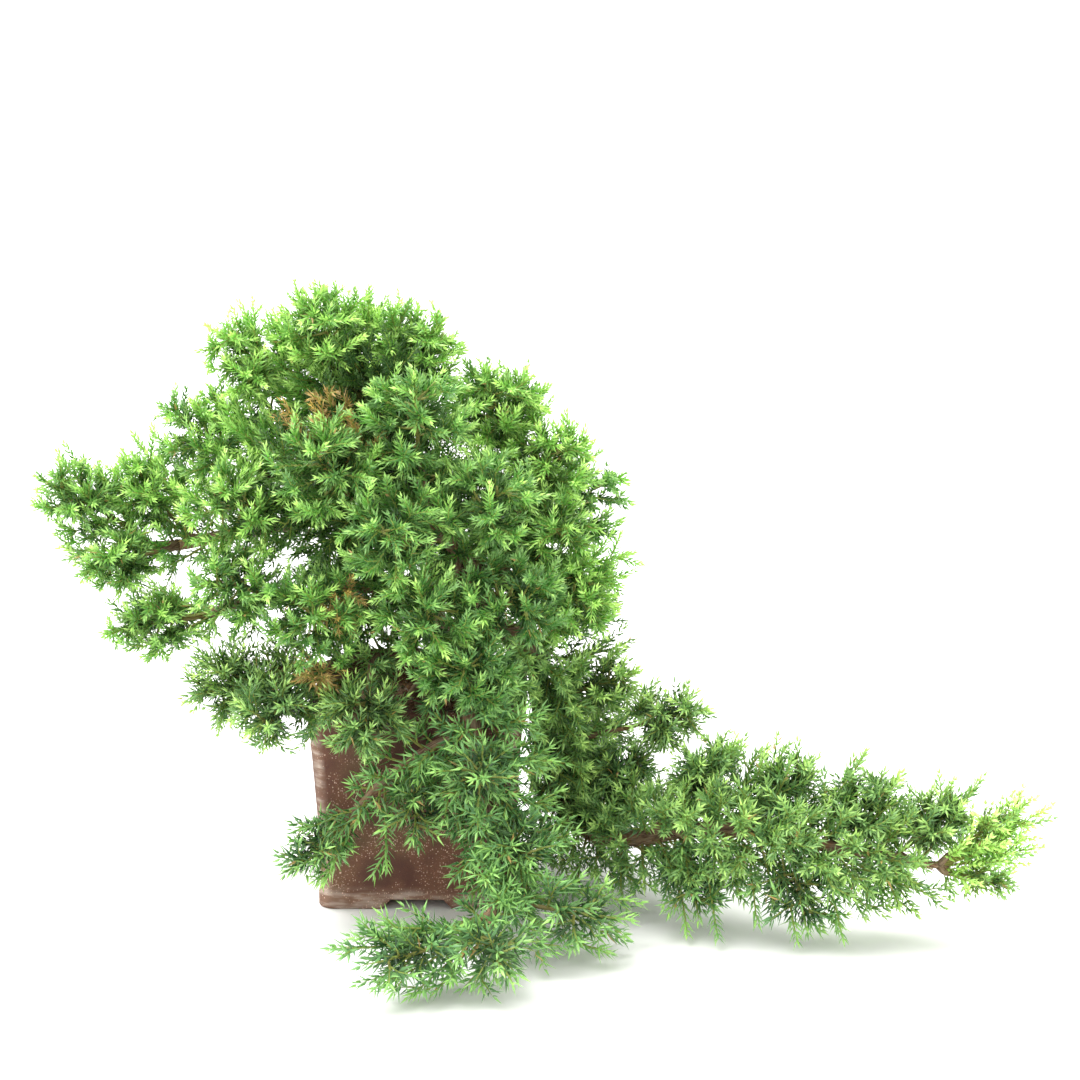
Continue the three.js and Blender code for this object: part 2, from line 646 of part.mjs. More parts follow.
// A spray is grown as one skin: rings of three points along the stem and each side twig. A side
// twig grows out of one face between two rings, and a whorl raises a needle from each face.
class SprayMesh {
  constructor(spray) {
    this.spray = spray;
    this.points = [];
    this.triangles = [];
  }

  // A straight axis with the directions that rings are laid out in.
  static axis(start, end, across) {
    const along = end.clone().sub(start).normalize();
    const flat = across.clone().addScaledVector(along, -across.dot(along)).normalize();
    return { start, along, flat, third: along.clone().cross(flat), length: end.distanceTo(start) };
  }

  static outward(axis, angle) {
    const alongFlat = axis.flat.clone().multiplyScalar(Math.cos(angle));
    return alongFlat.addScaledVector(axis.third, Math.sin(angle));
  }

  // Adds a point and gives its index.
  point(place) {
    this.points.push(place);
    return this.points.length - 1;
  }

  ring(axis, distance, radius, angle) {
    const centre = axis.start.clone().addScaledVector(axis.along, distance);
    const corners = [0, 1, 2].map((k) => {
      const heading = SprayMesh.outward(axis, angle + k * THIRD_TURN);
      return this.point(centre.clone().addScaledVector(heading, radius));
    });
    return { corners, distance, angle };
  }

  // The four corners of one face between two rings, in turning order.
  static corners(low, high, face) {
    const next = (face + 1) % 3;
    return [low.corners[face], low.corners[next], high.corners[next], high.corners[face]];
  }

  // Closes one face with two triangles, split along its shorter diagonal.
  wrap(low, high, face) {
    const [a, b, c, d] = SprayMesh.corners(low, high, face);
    const alongAC = this.points[a].distanceTo(this.points[c]);
    const alongBD = this.points[b].distanceTo(this.points[d]);
    if (alongAC < alongBD) {
      this.triangles.push([a, b, c], [a, c, d]);
    } else {
      this.triangles.push([a, b, d], [b, c, d]);
    }
  }

  wrapAll(low, high) {
    for (let face = 0; face < 3; face += 1) this.wrap(low, high, face);
  }

  whorl(axis, distance, radius, angle, twig, last) {
    const low = this.ring(axis, distance, radius, angle);
    const high = this.ring(axis, distance + WHORL_LENGTH, radius * WHORL_TAPER, angle);
    if (last) this.wrapAll(last, low);
    for (let face = 0; face < 3; face += 1) this.needle(axis, low, high, face, radius, twig);
    return { low, high };
  }

  // A needle is as steep off the stem as its clearances let it be. Where none fits, the face
  // is closed.
  needle(axis, low, high, face, radius, twig) {
    const { name, needles } = this.spray;
    const heading = SprayMesh.outward(axis, low.angle + (face + 0.5) * THIRD_TURN);
    const foot = axis.start.clone()
      .addScaledVector(axis.along, low.distance + WHORL_LENGTH / 2)
      .addScaledVector(heading, radius / 2);
    const needle = NEEDLE_SPREADS.map((opening) => ({
      owner: name,
      twig,
      from: foot,
      to: foot.clone()
        .addScaledVector(axis.along, Math.cos(opening) * needles.length)
        .addScaledVector(heading, Math.sin(opening) * needles.length),
      fromRadius: WHORL_LENGTH / 2,
      toRadius: NEEDLE_TIP_RADIUS,
    })).find(isClear);
    if (!needle) {
      this.wrap(low, high, face);
      return;
    }
    rods.push(needle);
    const apex = this.point(needle.to);
    const loop = SprayMesh.corners(low, high, face);
    loop.forEach((corner, k) => this.triangles.push([corner, loop[(k + 1) % loop.length], apex]));
  }

  tip(last, place) {
    const apex = this.point(place);
    for (let k = 0; k < 3; k += 1) {
      this.triangles.push([last.corners[k], last.corners[(k + 1) % 3], apex]);
    }
  }

  // The points of a loop in turning order round the axis, with the first again at the end.
  turning(loop, axis) {
    const sorted = loop.map((index) => {
      const from = this.points[index].clone().sub(axis.start);
      return { index, angle: Math.atan2(from.dot(axis.third), from.dot(axis.flat)) };
    }).sort((a, b) => a.angle - b.angle);
    return [...sorted, { index: sorted[0].index, angle: sorted[0].angle + FULL_TURN }];
  }

  // Joins a loop of points to a ring further along the axis, corner by corner in turning order.
  bridge(loop, ring, axis) {
    const near = this.turning(loop, axis);
    const far = this.turning(ring.corners, axis);
    let i = 0;
    let k = 0;
    while (i + 1 < near.length || k + 1 < far.length) {
      const nearAngle = i + 1 < near.length ? near[i + 1].angle : Infinity;
      const farAngle = k + 1 < far.length ? far[k + 1].angle : Infinity;
      const onNear = nearAngle < farAngle;
      const next = onNear ? near[i + 1] : far[k + 1];
      this.triangles.push([near[i].index, next.index, far[k].index]);
      if (onNear) i += 1;
      else k += 1;
    }
  }

  // How far along its axis the last whorl of a stem or twig ends, so that the tip stands out.
  lastWhorl(axis) {
    return axis.length - TIP_SHARE_OF_NEEDLE * this.spray.needles.length;
  }

  sideTwig(twig, low, high, face) {
    const loop = SprayMesh.corners(low, high, face);
    const foot = vec(0, 0, 0);
    loop.forEach((index) => foot.addScaledVector(this.points[index], 1 / loop.length));
    const axis = SprayMesh.axis(foot, twig.end, this.spray.aim);
    let last = null;
    for (let w = 0; w < twig.whorls; w += 1) {
      const share = 1 - (twig.whorls - 1 - w) * WHORL_SPACING;
      const distance = this.lastWhorl(axis) * share - WHORL_LENGTH;
      const angle = (w * THIRD_TURN) / 2;
      const whorl = this.whorl(axis, distance, TWIG_RADIUS, angle, twig.index, last);
      if (!last) this.bridge(loop, whorl.low, axis);
      last = whorl.high;
    }
    this.tip(last, twig.end);
  }

  // The face of the last ring that looks most nearly along a side twig, and the turn of the
  // next ring that makes it look exactly there.
  static facing(axis, last, twig) {
    const way = twig.end.clone().sub(twig.start);
    const turn = Math.atan2(way.dot(axis.third), way.dot(axis.flat));
    const choices = [0, 1, 2].map((face) => {
      const wanted = turn - (face + 0.5) * THIRD_TURN - last.angle;
      return { face, change: wanted - FULL_TURN * Math.round(wanted / FULL_TURN) };
    });
    choices.sort((a, b) => Math.abs(a.change) - Math.abs(b.change));
    return { face: choices[0].face, angle: last.angle + choices[0].change };
  }

  grow() {
    const { spray } = this;
    const axis = SprayMesh.axis(spray.start, spray.tip, crossing(spray.aim));
    let last = this.ring(axis, 0, STEM_RADIUS, 0);
    this.triangles.push([last.corners[0], last.corners[2], last.corners[1]]);
    for (const twig of spray.twigs) {
      const { face, angle } = SprayMesh.facing(axis, last, twig);
      const radius = lerp(STEM_RADIUS, TWIG_RADIUS, twig.share);
      const distance = axis.length * twig.share;
      const low = this.ring(axis, distance - WHORL_LENGTH / 2, radius, angle);
      const high = this.ring(axis, distance + WHORL_LENGTH / 2, radius, angle);
      this.wrapAll(last, low);
      this.wrap(low, high, (face + 1) % 3);
      this.wrap(low, high, (face + 2) % 3);
      this.sideTwig(twig, low, high, face);
      last = high;
    }
    for (const share of [LOWER_STEM_WHORL, 1]) {
      const distance = this.lastWhorl(axis) * share - WHORL_LENGTH;
      last = this.whorl(axis, distance, TWIG_RADIUS, last.angle + THIRD_TURN / 2, STEM, last).high;
    }
    this.tip(last, spray.tip);
    return solidOf(geometryFrom(this.points, this.triangles));
  }
}

// Colours

const COLOURS = {
  pot: 0x6e5444,
  drain_screen: 0x2b2b28,
  soil: 0x5d4a38,
  wood: 0x7c6247,
};
const NEEDLE_ROUGHNESS = 0.7;

function material(colour, roughness) {
  return new THREE.MeshStandardMaterial({ color: colour, roughness, metalness: 0 });
}

const plant = new THREE.Group();

function addNode(name, solid, colour, roughness) {
  const mesh = new THREE.Mesh(geometryOf(solid), material(colour, roughness));
  mesh.name = name;
  plant.add(mesh);
}

// Soil, a low mound that fills the pot, with a plain hole for the trunk

function makeSoil() {
  const draw = makeDraw(SOIL_SEED);
  const cut = INNER_CORNER_CUT;
  const halfAt = (z) => potInsideHalf(z) - SOIL_GAP;
  const rings = [
    squareOutline(halfAt(FLOOR_TOP) - FLOOR_FILLET_WIDTH, cut, FLOOR_TOP + GAP),
    squareOutline(halfAt(FLOOR_TOP + FLOOR_FILLET), cut, FLOOR_TOP + FLOOR_FILLET + SOIL_GAP),
    squareOutline(halfAt(INSIDE_MIDDLE), cut, INSIDE_MIDDLE),
    squareOutline(halfAt(SOIL_EDGE_HEIGHT), cut, SOIL_EDGE_HEIGHT - SOIL_EDGE_SLOPE),
  ];
  for (let ring = 0; ring < SOIL_RINGS; ring += 1) {
    const inward = 1 - ring / SOIL_RINGS;
    const height = lerp(SOIL_CROWN_HEIGHT, SOIL_EDGE_HEIGHT, inward);
    const half = halfAt(SOIL_EDGE_HEIGHT) * inward - (ring ? 0 : EASED_EDGE);
    const outline = squareOutline(half, cut * inward, height);
    outline.forEach((point) => point.setZ(point.z + SOIL_ROUGHNESS * (draw() - 0.5)));
    rings.push(outline);
  }
  rings.push([vec(0, 0, SOIL_CROWN_HEIGHT)]);
  const seatSide = SCREEN_SIDE + 2 * GAP;
  const seat = new THREE.BoxGeometry(seatSide, seatSide, 2 * (SCREEN_THICK + 2 * GAP));
  seat.translate(0, 0, FLOOR_TOP + GAP);
  const trunk = LIMBS.trunk.map((row) => row.point);
  trunk[0] = trunk[0].clone().addScaledVector(UP, -GAP);
  const hole = tube(trunk, LIMBS.trunk.map((row) => row.radius + TRUNK_HOLE_GAP), TRUNK_SIDES);
  return solidOf(skin(rings)).subtract(solidOf(seat)).subtract(hole);
}

addNode('pot', makePot(), COLOURS.pot, 0.85);
addNode('drain_screen', makeScreen(), COLOURS.drain_screen, 0.6);
addNode('soil', makeSoil(), COLOURS.soil, 1);

// Wood: trunk, limbs and the short branches that end at the sprays, grown as one piece

const sprays = [
  ...placeSprays(SPRAYS, FIRST_SPRAY_SEED, SIDE_TWIGS),
  ...placeSprays(DRY_TWIGS, FIRST_DRY_SEED, DRY_SIDE_TWIGS),
];
const wood = [];
for (const [name, rows] of Object.entries(LIMBS)) {
  const path = rows.map((row) => row.point);
  const radii = rows.map((row) => row.radius);
  wood.push(tube(path, radii, name === 'trunk' ? TRUNK_SIDES : LIMB_SIDES));
  addRods('wood', path, radii);
}
for (const spray of sprays) {
  wood.push(tube(spray.branch, spray.branchRadii, BRANCH_SIDES, spray.aim));
  addRods('wood', spray.branch, spray.branchRadii);
}
addNode('wood', joined(wood), COLOURS.wood, 0.9);

// Sprays: first every stem and side twig is settled, then the needles

for (const spray of sprays) {
  rods.push({
    owner: spray.name,
    twig: STEM,
    from: spray.start,
    to: spray.tip,
    fromRadius: STEM_RADIUS,
    toRadius: TWIG_RADIUS,
  });
}
for (const spray of sprays) {
  spray.twigs = [];
  sideTwigs(spray).forEach((twig, i) => {
    const settled = settledTwig(spray, twig, i);
    if (!settled) return;
    spray.twigs.push(settled);
    rods.push(settled.rod);
  });
}
for (const spray of sprays) {
  addNode(spray.name, new SprayMesh(spray).grow(), spray.needles.colour, NEEDLE_ROUGHNESS);
}

const outline = new THREE.Box3().setFromObject(plant);
const centre = outline.getCenter(vec(0, 0, 0));
plant.position.set(-centre.x, -centre.y, -outline.min.z);

export default plant;
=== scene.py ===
# %% [markdown]
# # A procumbens juniper grown as a semi-cascade bonsai
# The tree stands in a square, unglazed pot. Its crown hangs to the front, and one long branch runs
# out low to the right. The measured model holds every piece where it belongs, so this lesson starts
# by loading it. Each piece made here then takes the place of one measured piece and keeps its form.

# %% Load the measured model
import math

import bpy
import numpy as np
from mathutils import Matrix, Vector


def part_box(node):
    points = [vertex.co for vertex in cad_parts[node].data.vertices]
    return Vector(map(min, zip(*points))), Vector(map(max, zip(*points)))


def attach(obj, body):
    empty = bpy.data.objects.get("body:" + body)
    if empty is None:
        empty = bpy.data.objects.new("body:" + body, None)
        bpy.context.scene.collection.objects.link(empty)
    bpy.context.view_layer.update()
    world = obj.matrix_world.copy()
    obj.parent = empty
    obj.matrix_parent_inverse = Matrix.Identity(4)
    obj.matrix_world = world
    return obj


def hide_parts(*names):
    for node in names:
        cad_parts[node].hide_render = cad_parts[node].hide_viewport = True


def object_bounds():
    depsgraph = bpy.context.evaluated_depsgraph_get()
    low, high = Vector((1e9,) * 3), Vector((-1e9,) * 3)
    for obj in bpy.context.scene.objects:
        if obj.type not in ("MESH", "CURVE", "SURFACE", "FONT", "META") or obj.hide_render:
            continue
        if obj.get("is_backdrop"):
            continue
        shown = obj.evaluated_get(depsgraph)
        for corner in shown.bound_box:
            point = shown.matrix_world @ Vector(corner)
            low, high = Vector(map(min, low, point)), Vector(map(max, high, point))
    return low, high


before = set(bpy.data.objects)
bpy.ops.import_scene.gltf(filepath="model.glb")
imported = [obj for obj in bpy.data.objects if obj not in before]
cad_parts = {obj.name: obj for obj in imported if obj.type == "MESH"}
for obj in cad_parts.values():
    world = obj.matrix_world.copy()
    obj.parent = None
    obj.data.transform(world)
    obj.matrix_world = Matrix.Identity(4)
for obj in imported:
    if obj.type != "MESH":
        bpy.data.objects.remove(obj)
cad_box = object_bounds()
print("measured pieces:", len(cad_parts))

# %% [markdown]
# ## Millimetres round the pot
# A grower measures a tree from its pot, so all shapes here are laid out in millimetres round the
# middle of the pot's foot, with the front of the pot towards -Y. One function moves finished points
# to the frame of the whole tree, in metres.

# %% Millimetres to metres
MM = 0.001
pot_low, pot_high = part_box("pot")
POT_PLACE = np.array([(pot_low.x + pot_high.x) / 2, (pot_low.y + pot_high.y) / 2, pot_low.z])
POT_HEIGHT = (pot_high.z - pot_low.z) / MM
RIM_HALF = (pot_high.x - pot_low.x) / 2 / MM
UP = np.array([0.0, 0.0, 1.0])


def metres(points):
    """Millimetres round the pot's foot, turned into metres in the frame of the whole tree."""
    return np.asarray(points, float) * MM + POT_PLACE


print(f"pot {2 * RIM_HALF:.1f} mm wide and {POT_HEIGHT:.1f} mm tall, its foot at {POT_PLACE}")

# %% [markdown]
# ## Colours and shader nodes
# Colours are read off as sRGB hex values, as a paint chart gives them, and Blender mixes light in
# linear values, so one function turns one into the other. One small function adds a shader node
# with its settings and its inputs. Two kinds of node do most of the work: Mix, which blends two
# colours by a factor, and Map Range, which stretches a value from one span to another, smoothly
# and without leaving it. Their inputs are known by number, so the numbers get names here. Most of
# a surface's patterns are the two together: a colour that turns to a tint where a value is high.


# %% Colour and node helpers
FACTOR, LOW, HIGH, MIXED = 0, 6, 7, 2
VALUE, FROM_LOW, FROM_HIGH, TO_LOW, TO_HIGH = range(5)
COLOURS = {"data_type": "RGBA"}
TIMES = {"data_type": "RGBA", "blend_type": "MULTIPLY"}
SMOOTH = {"interpolation_type": "SMOOTHSTEP"}


def colour(code):
    """An sRGB hex colour such as '#6e5444' as linear red, green, blue and alpha."""
    values = [int(code[i : i + 2], 16) / 255 for i in (1, 3, 5)]
    linear = [v / 12.92 if v <= 0.04045 else ((v + 0.055) / 1.055) ** 2.4 for v in values]
    return (*linear, 1.0)


def join(tree, node, inputs):
    """Fills a node's inputs, each with a value, a hex colour or another node's output."""
    for socket, value in inputs.items():
        if isinstance(value, bpy.types.NodeSocket):
            tree.links.new(value, node.inputs[socket])
        else:
            node.inputs[socket].default_value = colour(value) if isinstance(value, str) else value


def add(tree, kind, inputs, output=0, **settings):
    """Adds a node with its settings and inputs, and gives one of its outputs."""
    node = tree.nodes.new("ShaderNode" + kind)
    for name, value in settings.items():
        setattr(node, name, value)
    join(tree, node, inputs)
    return node.outputs[output]


def new_material(name, roughness, ior):
    """A material with one Principled shader, and the tree that its pattern is drawn in."""
    material = bpy.data.materials.new(name)
    material.use_nodes = True
    shader = material.node_tree.nodes["Principled BSDF"]
    join(material.node_tree, shader, {"Roughness": roughness, "IOR": ior})
    return material, material.node_tree, shader


def tinted(tree, base, tint, value, low, high, most=1.0):
    """A colour that turns to a tint, by as much as most, where a value rises from low to high."""
    share = {VALUE: value, FROM_LOW: low, FROM_HIGH: high, TO_HIGH: most}
    share = add(tree, "MapRange", share, **SMOOTH)
    return add(tree, "Mix", {FACTOR: share, LOW: base, HIGH: tint}, MIXED, **COLOURS)


print("helpers ready")

# %% [markdown]
# ## Needles
# A juniper needle is a stiff little awl with a waxy skin: mid green on its keeled back, paler on
# the face that looks at the stem, where two whitish bands of pores run. Young ones at a shoot's
# tip are yellow-green, and those inside a spray are older and darker. The material also paints
# shade on them: the further in a needle sits, the darker its painted shade. The mesh carries how
# far along its shoot and its needle each point is, and how far out in its spray, or, on sprigs and
# leaders, a given amount of painted light. The material only mixes colours from that. The wax
# gives the eye a soft, broad highlight.

# %% Needle material
CUTICLE_IOR = 1.45
# Cool and warm casts follow the tone, so they carry its painted light and shade as well as its
# random spread.
TONE_CASTS = ("#c4e2d0", "#f8fcd6")
# Each share comes from a number of the mesh: its name, the span it has and the span it is given.
NEEDLE_SHARES = {
    "shoot": ("up_shoot", 0.4, 1.0, 0.0, 0.9),
    "needle": ("up_needle", 0.1, 1.2, 0.0, 0.4),
    # lightness: the tone's random spread between shoots, and the painted light and shade given to
    # whole sprays.
    "lightness": ("tone", 0.0, 1.0, 0.58, 1.3),
    # shade: painted shade, darker towards a spray's heart and on sprigs and leaders given little
    # light.
    "shade": ("outer", 0.0, 0.9, 0.32, 1.0),
}
DEAD_NEEDLE = "#b09458"


def needle_material(name, old, young, band, band_share):
    """Waxy needles, from an old colour to a young one out of the shade and up their shoot, with
    painted shade and light.
    """
    material, tree, shader = new_material(name, 0.42, CUTICLE_IOR)
    at = {}
    for value in ("outer", "tone", "up_shoot", "up_needle", "inner_face", "dead"):
        at[value] = add(tree, "Attribute", {}, "Fac", attribute_name=value)
    for share, (value, *span) in NEEDLE_SHARES.items():
        at[share] = add(tree, "MapRange", dict(enumerate([at[value], *span])), **SMOOTH)
    sunny = add(tree, "Math", {0: at["shoot"], 1: at["outer"]}, operation="MULTIPLY")
    youth = add(tree, "Math", {0: sunny, 1: at["needle"]}, operation="ADD", use_clamp=True)
    keel = add(tree, "Mix", {FACTOR: youth, LOW: old, HIGH: young}, MIXED, **COLOURS)
    green = tinted(tree, keel, band, at["inner_face"], 0.0, 1.0, band_share)
    cast = tinted(tree, *TONE_CASTS, at["tone"], 0.1, 0.9)
    # The cast, the lightness and the painted shade multiply the green.
    for share in (cast, at["lightness"], at["shade"]):
        green = add(tree, "Mix", {FACTOR: 1.0, LOW: green, HIGH: share}, MIXED, **TIMES)
    whole = {FACTOR: at["dead"], LOW: green, HIGH: DEAD_NEEDLE}
    join(tree, shader, {"Base Color": add(tree, "Mix", whole, MIXED, **COLOURS)})
    return material


# The needles in the sun are lighter than those in shade and low down, partly as real sun and shade
# foliage differ and partly as painted light and shade.
NEEDLES = {
    "crown": needle_material("waxy_needles_in_sun", "#5a9e38", "#c8e892", "#9ecb80", 0.3),
    "shaded": needle_material("waxy_needles_in_shade", "#568c40", "#cae890", "#a8c892", 0.35),
    "long": needle_material("waxy_needles_low", "#447a3e", "#acd882", "#9cc690", 0.4),
    "tip": needle_material("waxy_needles_new_growth", "#b0de76", "#dcf8a4", "#ccecac", 0.3),
    "dry": needle_material("dead_needles", "#8f7440", "#ccaa68", "#d4b884", 0.3),
}
print("needle materials:", len(NEEDLES))
NEEDLES |= {"behind": NEEDLES["crown"], "low": NEEDLES["long"]}

# %% [markdown]
# ## Green stems
# The thin stems of a shoot are yellow-green where they grew this year and turn brown and woody
# towards the limb. The mesh carries how woody each point is.


# %% Stem material
def stem_material():
    """Stems that are green at the tip and brown where they have turned to wood."""
    material, tree, shader = new_material("shoot_stems", 0.6, CUTICLE_IOR)
    woody = add(tree, "Attribute", {}, "Fac", attribute_name="woody")
    shades = {FACTOR: woody, LOW: "#93a84e", HIGH: "#7a5a3a"}
    shades = add(tree, "Mix", shades, MIXED, **COLOURS)
    cloud = add(tree, "TexNoise", {"Scale": 0.4 / MM, "Detail": 3.0})
    uneven = {VALUE: cloud, FROM_LOW: 0.3, FROM_HIGH: 0.7, TO_LOW: 0.75, TO_HIGH: 1.15}
    uneven = add(tree, "MapRange", uneven, **SMOOTH)
    whole = add(tree, "Mix", {FACTOR: 1.0, LOW: shades, HIGH: uneven}, MIXED, **TIMES)
    join(tree, shader, {"Base Color": whole})
    return material


SHOOT_STEMS = stem_material()
print("stem material:", SHOOT_STEMS.name)

# %% [markdown]
# ## Bark
# Old juniper bark splits into long, stringy strips that weather grey and show tan or reddish brown
# where a strip has peeled. The strips are in the mesh, and the material adds finer fibres: a noise
# stretched along the limb, which the mesh helps with by carrying each point's place on the limb.

# %% Bark material
FIBRE_MM = 0.8


def bark_material():
    """Weathered, fibrous bark, with the fresh brown showing in the furrows."""
    material, tree, shader = new_material("juniper_bark", 0.85, 1.4)
    place = add(tree, "Attribute", {}, "Vector", attribute_name="on_limb")
    strip = add(tree, "Attribute", {}, "Fac", attribute_name="strip")
    grain = {"Vector": place, "Scale": 1 / (FIBRE_MM * MM), "Detail": 6.0, "Roughness": 0.65}
    fibres = add(tree, "TexNoise", grain)
    cloud = add(tree, "TexNoise", {"Scale": 0.09 / MM, "Detail": 4.0})
    weathered = tinted(tree, "#8a7a62", "#8f6646", cloud, 0.4, 0.62)
    furrowed = tinted(tree, "#4a3324", weathered, strip, 0.2, 0.8)
    paled = tinted(tree, furrowed, "#b39a7c", fibres, 0.35, 0.75, 0.8)
    relief = {"Strength": 0.7, "Distance": 0.5 * MM, "Height": fibres}
    join(tree, shader, {"Base Color": paled, "Normal": add(tree, "Bump", relief)})
    return material


BARK = bark_material()
print("bark fibres are", FIBRE_MM, "mm wide")

# %% [markdown]
# ## Unglazed stoneware
# The pot is brown clay fired without a glaze: dull, a little sandy, with pale specks of grog that
# break through the skin. Its foot, where water dries and hands rub it, is paler, with flat streaks
# of lime. Its corners are paler too, in the same colour: partly wear, and partly a painted
# highlight on their edges. The specks sit in cells 1.2 and 2.4 mm wide, and gather in clouds
# because many of the cells stay empty.

# %% Specks, clay and lime
# Each size of speck: its pitch in millimetres, the span of the cloud that crowds it, and what a
# cell has to draw over where the cloud is thin and where it is thick.
SPECKS = ((1.2, 0.35, 0.62, 0.6, 0.0), (2.4, 0.4, 0.7, 0.8, 0.35))
SAND_MM = 0.45
LIME_STREAK = 6


def specks(tree, where, pitch, crowd):
    """Pale specks in cells of a pitch in millimetres. A cell shows one if it draws over crowd."""
    cells = {"Vector": where, "Scale": 1 / (pitch * MM)}
    distance = add(tree, "TexVoronoi", cells, "Distance")
    draws = {0: distance.node.outputs["Color"]}
    draw = add(tree, "SeparateColor", draws)
    spare = add(tree, "Math", {0: draw, 1: crowd}, operation="SUBTRACT")
    size = {VALUE: spare, FROM_LOW: 0.0, FROM_HIGH: 0.8, TO_HIGH: 0.42}
    size = add(tree, "MapRange", size, **SMOOTH)
    speck = add(tree, "Math", {0: size, 1: distance}, operation="SUBTRACT")
    edge = add(tree, "MapRange", {VALUE: speck, FROM_LOW: -0.04, FROM_HIGH: 0.14}, **SMOOTH)
    strength = add(tree, "MapRange", {VALUE: draw.node.outputs[1], TO_LOW: 0.35}, **SMOOTH)
    return add(tree, "Math", {0: edge, 1: strength}, operation="MULTIPLY")


def clay_colour(tree, where, cloud, sand):
    """Brown clay in two shades, with a stain in places and the darker sand in it."""
    clay = tinted(tree, "#5c372a", "#7d523c", cloud, 0.35, 0.65)
    stain = add(tree, "TexNoise", {"Vector": where, "Scale": 0.02 / MM, "Detail": 6.0})
    clay = tinted(tree, clay, "#6c5a3c", stain, 0.45, 0.7, 0.6)
    clay = tinted(tree, clay, "#3f2c25", sand, 0.35, 0.7, 0.6)
    return clay


def lime_and_highlight_colour(tree, where):
    """The pale crust of lime, in flat streaks. On the corners it also serves as a painted
    highlight.
    """
    flat = add(tree, "Mapping", {"Vector": where, "Scale": (1, 1, LIME_STREAK)})
    streaks = add(tree, "TexNoise", {"Vector": flat, "Scale": 0.06 / MM, "Detail": 7.0})
    return tinted(tree, "#8a6a58", "#c4b0a2", streaks, 0.42, 0.66)


print("sizes of speck:", len(SPECKS))

# %% [markdown]
# ## The whole pot's surface
# The clay is two browns in clouds, stained in places and darkened by its sand. The crust of lime
# covers it where the mesh says that the pot is worn, and on the corners, where the same pale colour
# is also a painted highlight. The specks lie over both. Sand and specks stand up a little, which
# makes the dull surface catch the light unevenly.


# %% Stoneware
def stoneware_material():
    """Brown unglazed clay with fine pale specks, lime on its foot, and lime with a painted
    highlight on its corners.
    """
    material, tree, shader = new_material("unglazed_stoneware", 0.8, 1.5)
    where = add(tree, "TexCoord", {}, "Object")
    cloud = add(tree, "TexNoise", {"Vector": where, "Scale": 0.045 / MM, "Detail": 5.0})
    sand = {"Vector": where, "Scale": 1 / (SAND_MM * MM), "Detail": 4.0}
    sand = add(tree, "TexNoise", sand)
    sizes = []
    for pitch, low, high, empty, crowded in SPECKS:
        crowd = {VALUE: cloud, FROM_LOW: low, FROM_HIGH: high, TO_LOW: empty, TO_HIGH: crowded}
        sizes.append(specks(tree, where, pitch, add(tree, "MapRange", crowd, **SMOOTH)))
    shown = add(tree, "Math", dict(enumerate(sizes)), operation="MAXIMUM")
    wear = add(tree, "Attribute", {}, "Fac", attribute_name="wear")
    clay, lime_and_highlight = clay_colour(tree, where, cloud, sand), lime_and_highlight_colour(tree, where)
    paled = add(tree, "Mix", {FACTOR: wear, LOW: clay, HIGH: lime_and_highlight}, MIXED, **COLOURS)
    face = add(tree, "Mix", {FACTOR: shown, LOW: paled, HIGH: "#d9b7a2"}, MIXED, **COLOURS)
    grit = add(tree, "Math", {0: sand, 1: shown}, operation="ADD")
    relief = add(tree, "Bump", {"Strength": 0.5, "Distance": 0.3 * MM, "Height": grit})
    join(tree, shader, {"Base Color": face, "Normal": relief})
    return material


STONEWARE = stoneware_material()
print("the finest specks sit about", SPECKS[0][0], "mm apart")

# %% [markdown]
# ## Bonsai grit and the drain mesh
# Bonsai soil is a mix of fired clay grains, lava and pumice, 2 to 4 mm across, so it is gritty and
# not crumbly. The grains are in the mesh, each with its own tone. The mesh over the drain hole is
# plain black polypropylene.


# %% Grit and polypropylene materials
def grit_material():
    """Grains of tan clay, grey pumice and dark lava."""
    material, tree, shader = new_material("bonsai_grit", 0.95, 1.45)
    tone = add(tree, "Attribute", {}, "Fac", attribute_name="tone")
    dust = add(tree, "TexNoise", {"Scale": 0.8 / MM, "Detail": 4.0})
    grain = tinted(tree, "#3b2c22", "#8a6645", tone, 0.0, 0.5)
    grain = tinted(tree, grain, "#a89f8d", tone, 0.6, 0.95)
    grain = tinted(tree, grain, "#5a4632", dust, 0.35, 0.7, 0.5)
    relief = add(tree, "Bump", {"Strength": 0.6, "Distance": 0.3 * MM, "Height": dust})
    join(tree, shader, {"Base Color": grain, "Normal": relief})
    return material


def polypropylene_material():
    """Black moulded plastic mesh with a slight satin unevenness."""
    material, tree, shader = new_material("black_polypropylene", 0.5, 1.49)
    cloud = add(tree, "TexNoise", {"Scale": 0.3 / MM, "Detail": 2.0})
    haze = tinted(tree, "#1d1d1b", "#2f2f2c", cloud, 0.3, 0.7)
    join(tree, shader, {"Base Color": haze})
    return material


GRIT = grit_material()
drain_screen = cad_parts["drain_screen"]
drain_screen.data.materials.clear()
drain_screen.data.materials.append(polypropylene_material())
print("grit and drain mesh ready")

# %% [markdown]
# ## Bundles
# A tree has far too many needles to make one by one, so points and triangles are worked out as
# whole arrays. A part of a mesh is a small bundle: its points, its triangles, which material they
# take, and the numbers they carry. Bundles are stacked into one piece.

# %% Bundles of points and triangles
POINT_VALUES = ("up_shoot", "up_needle", "outer", "tone", "dead", "woody", "strip", "wear")


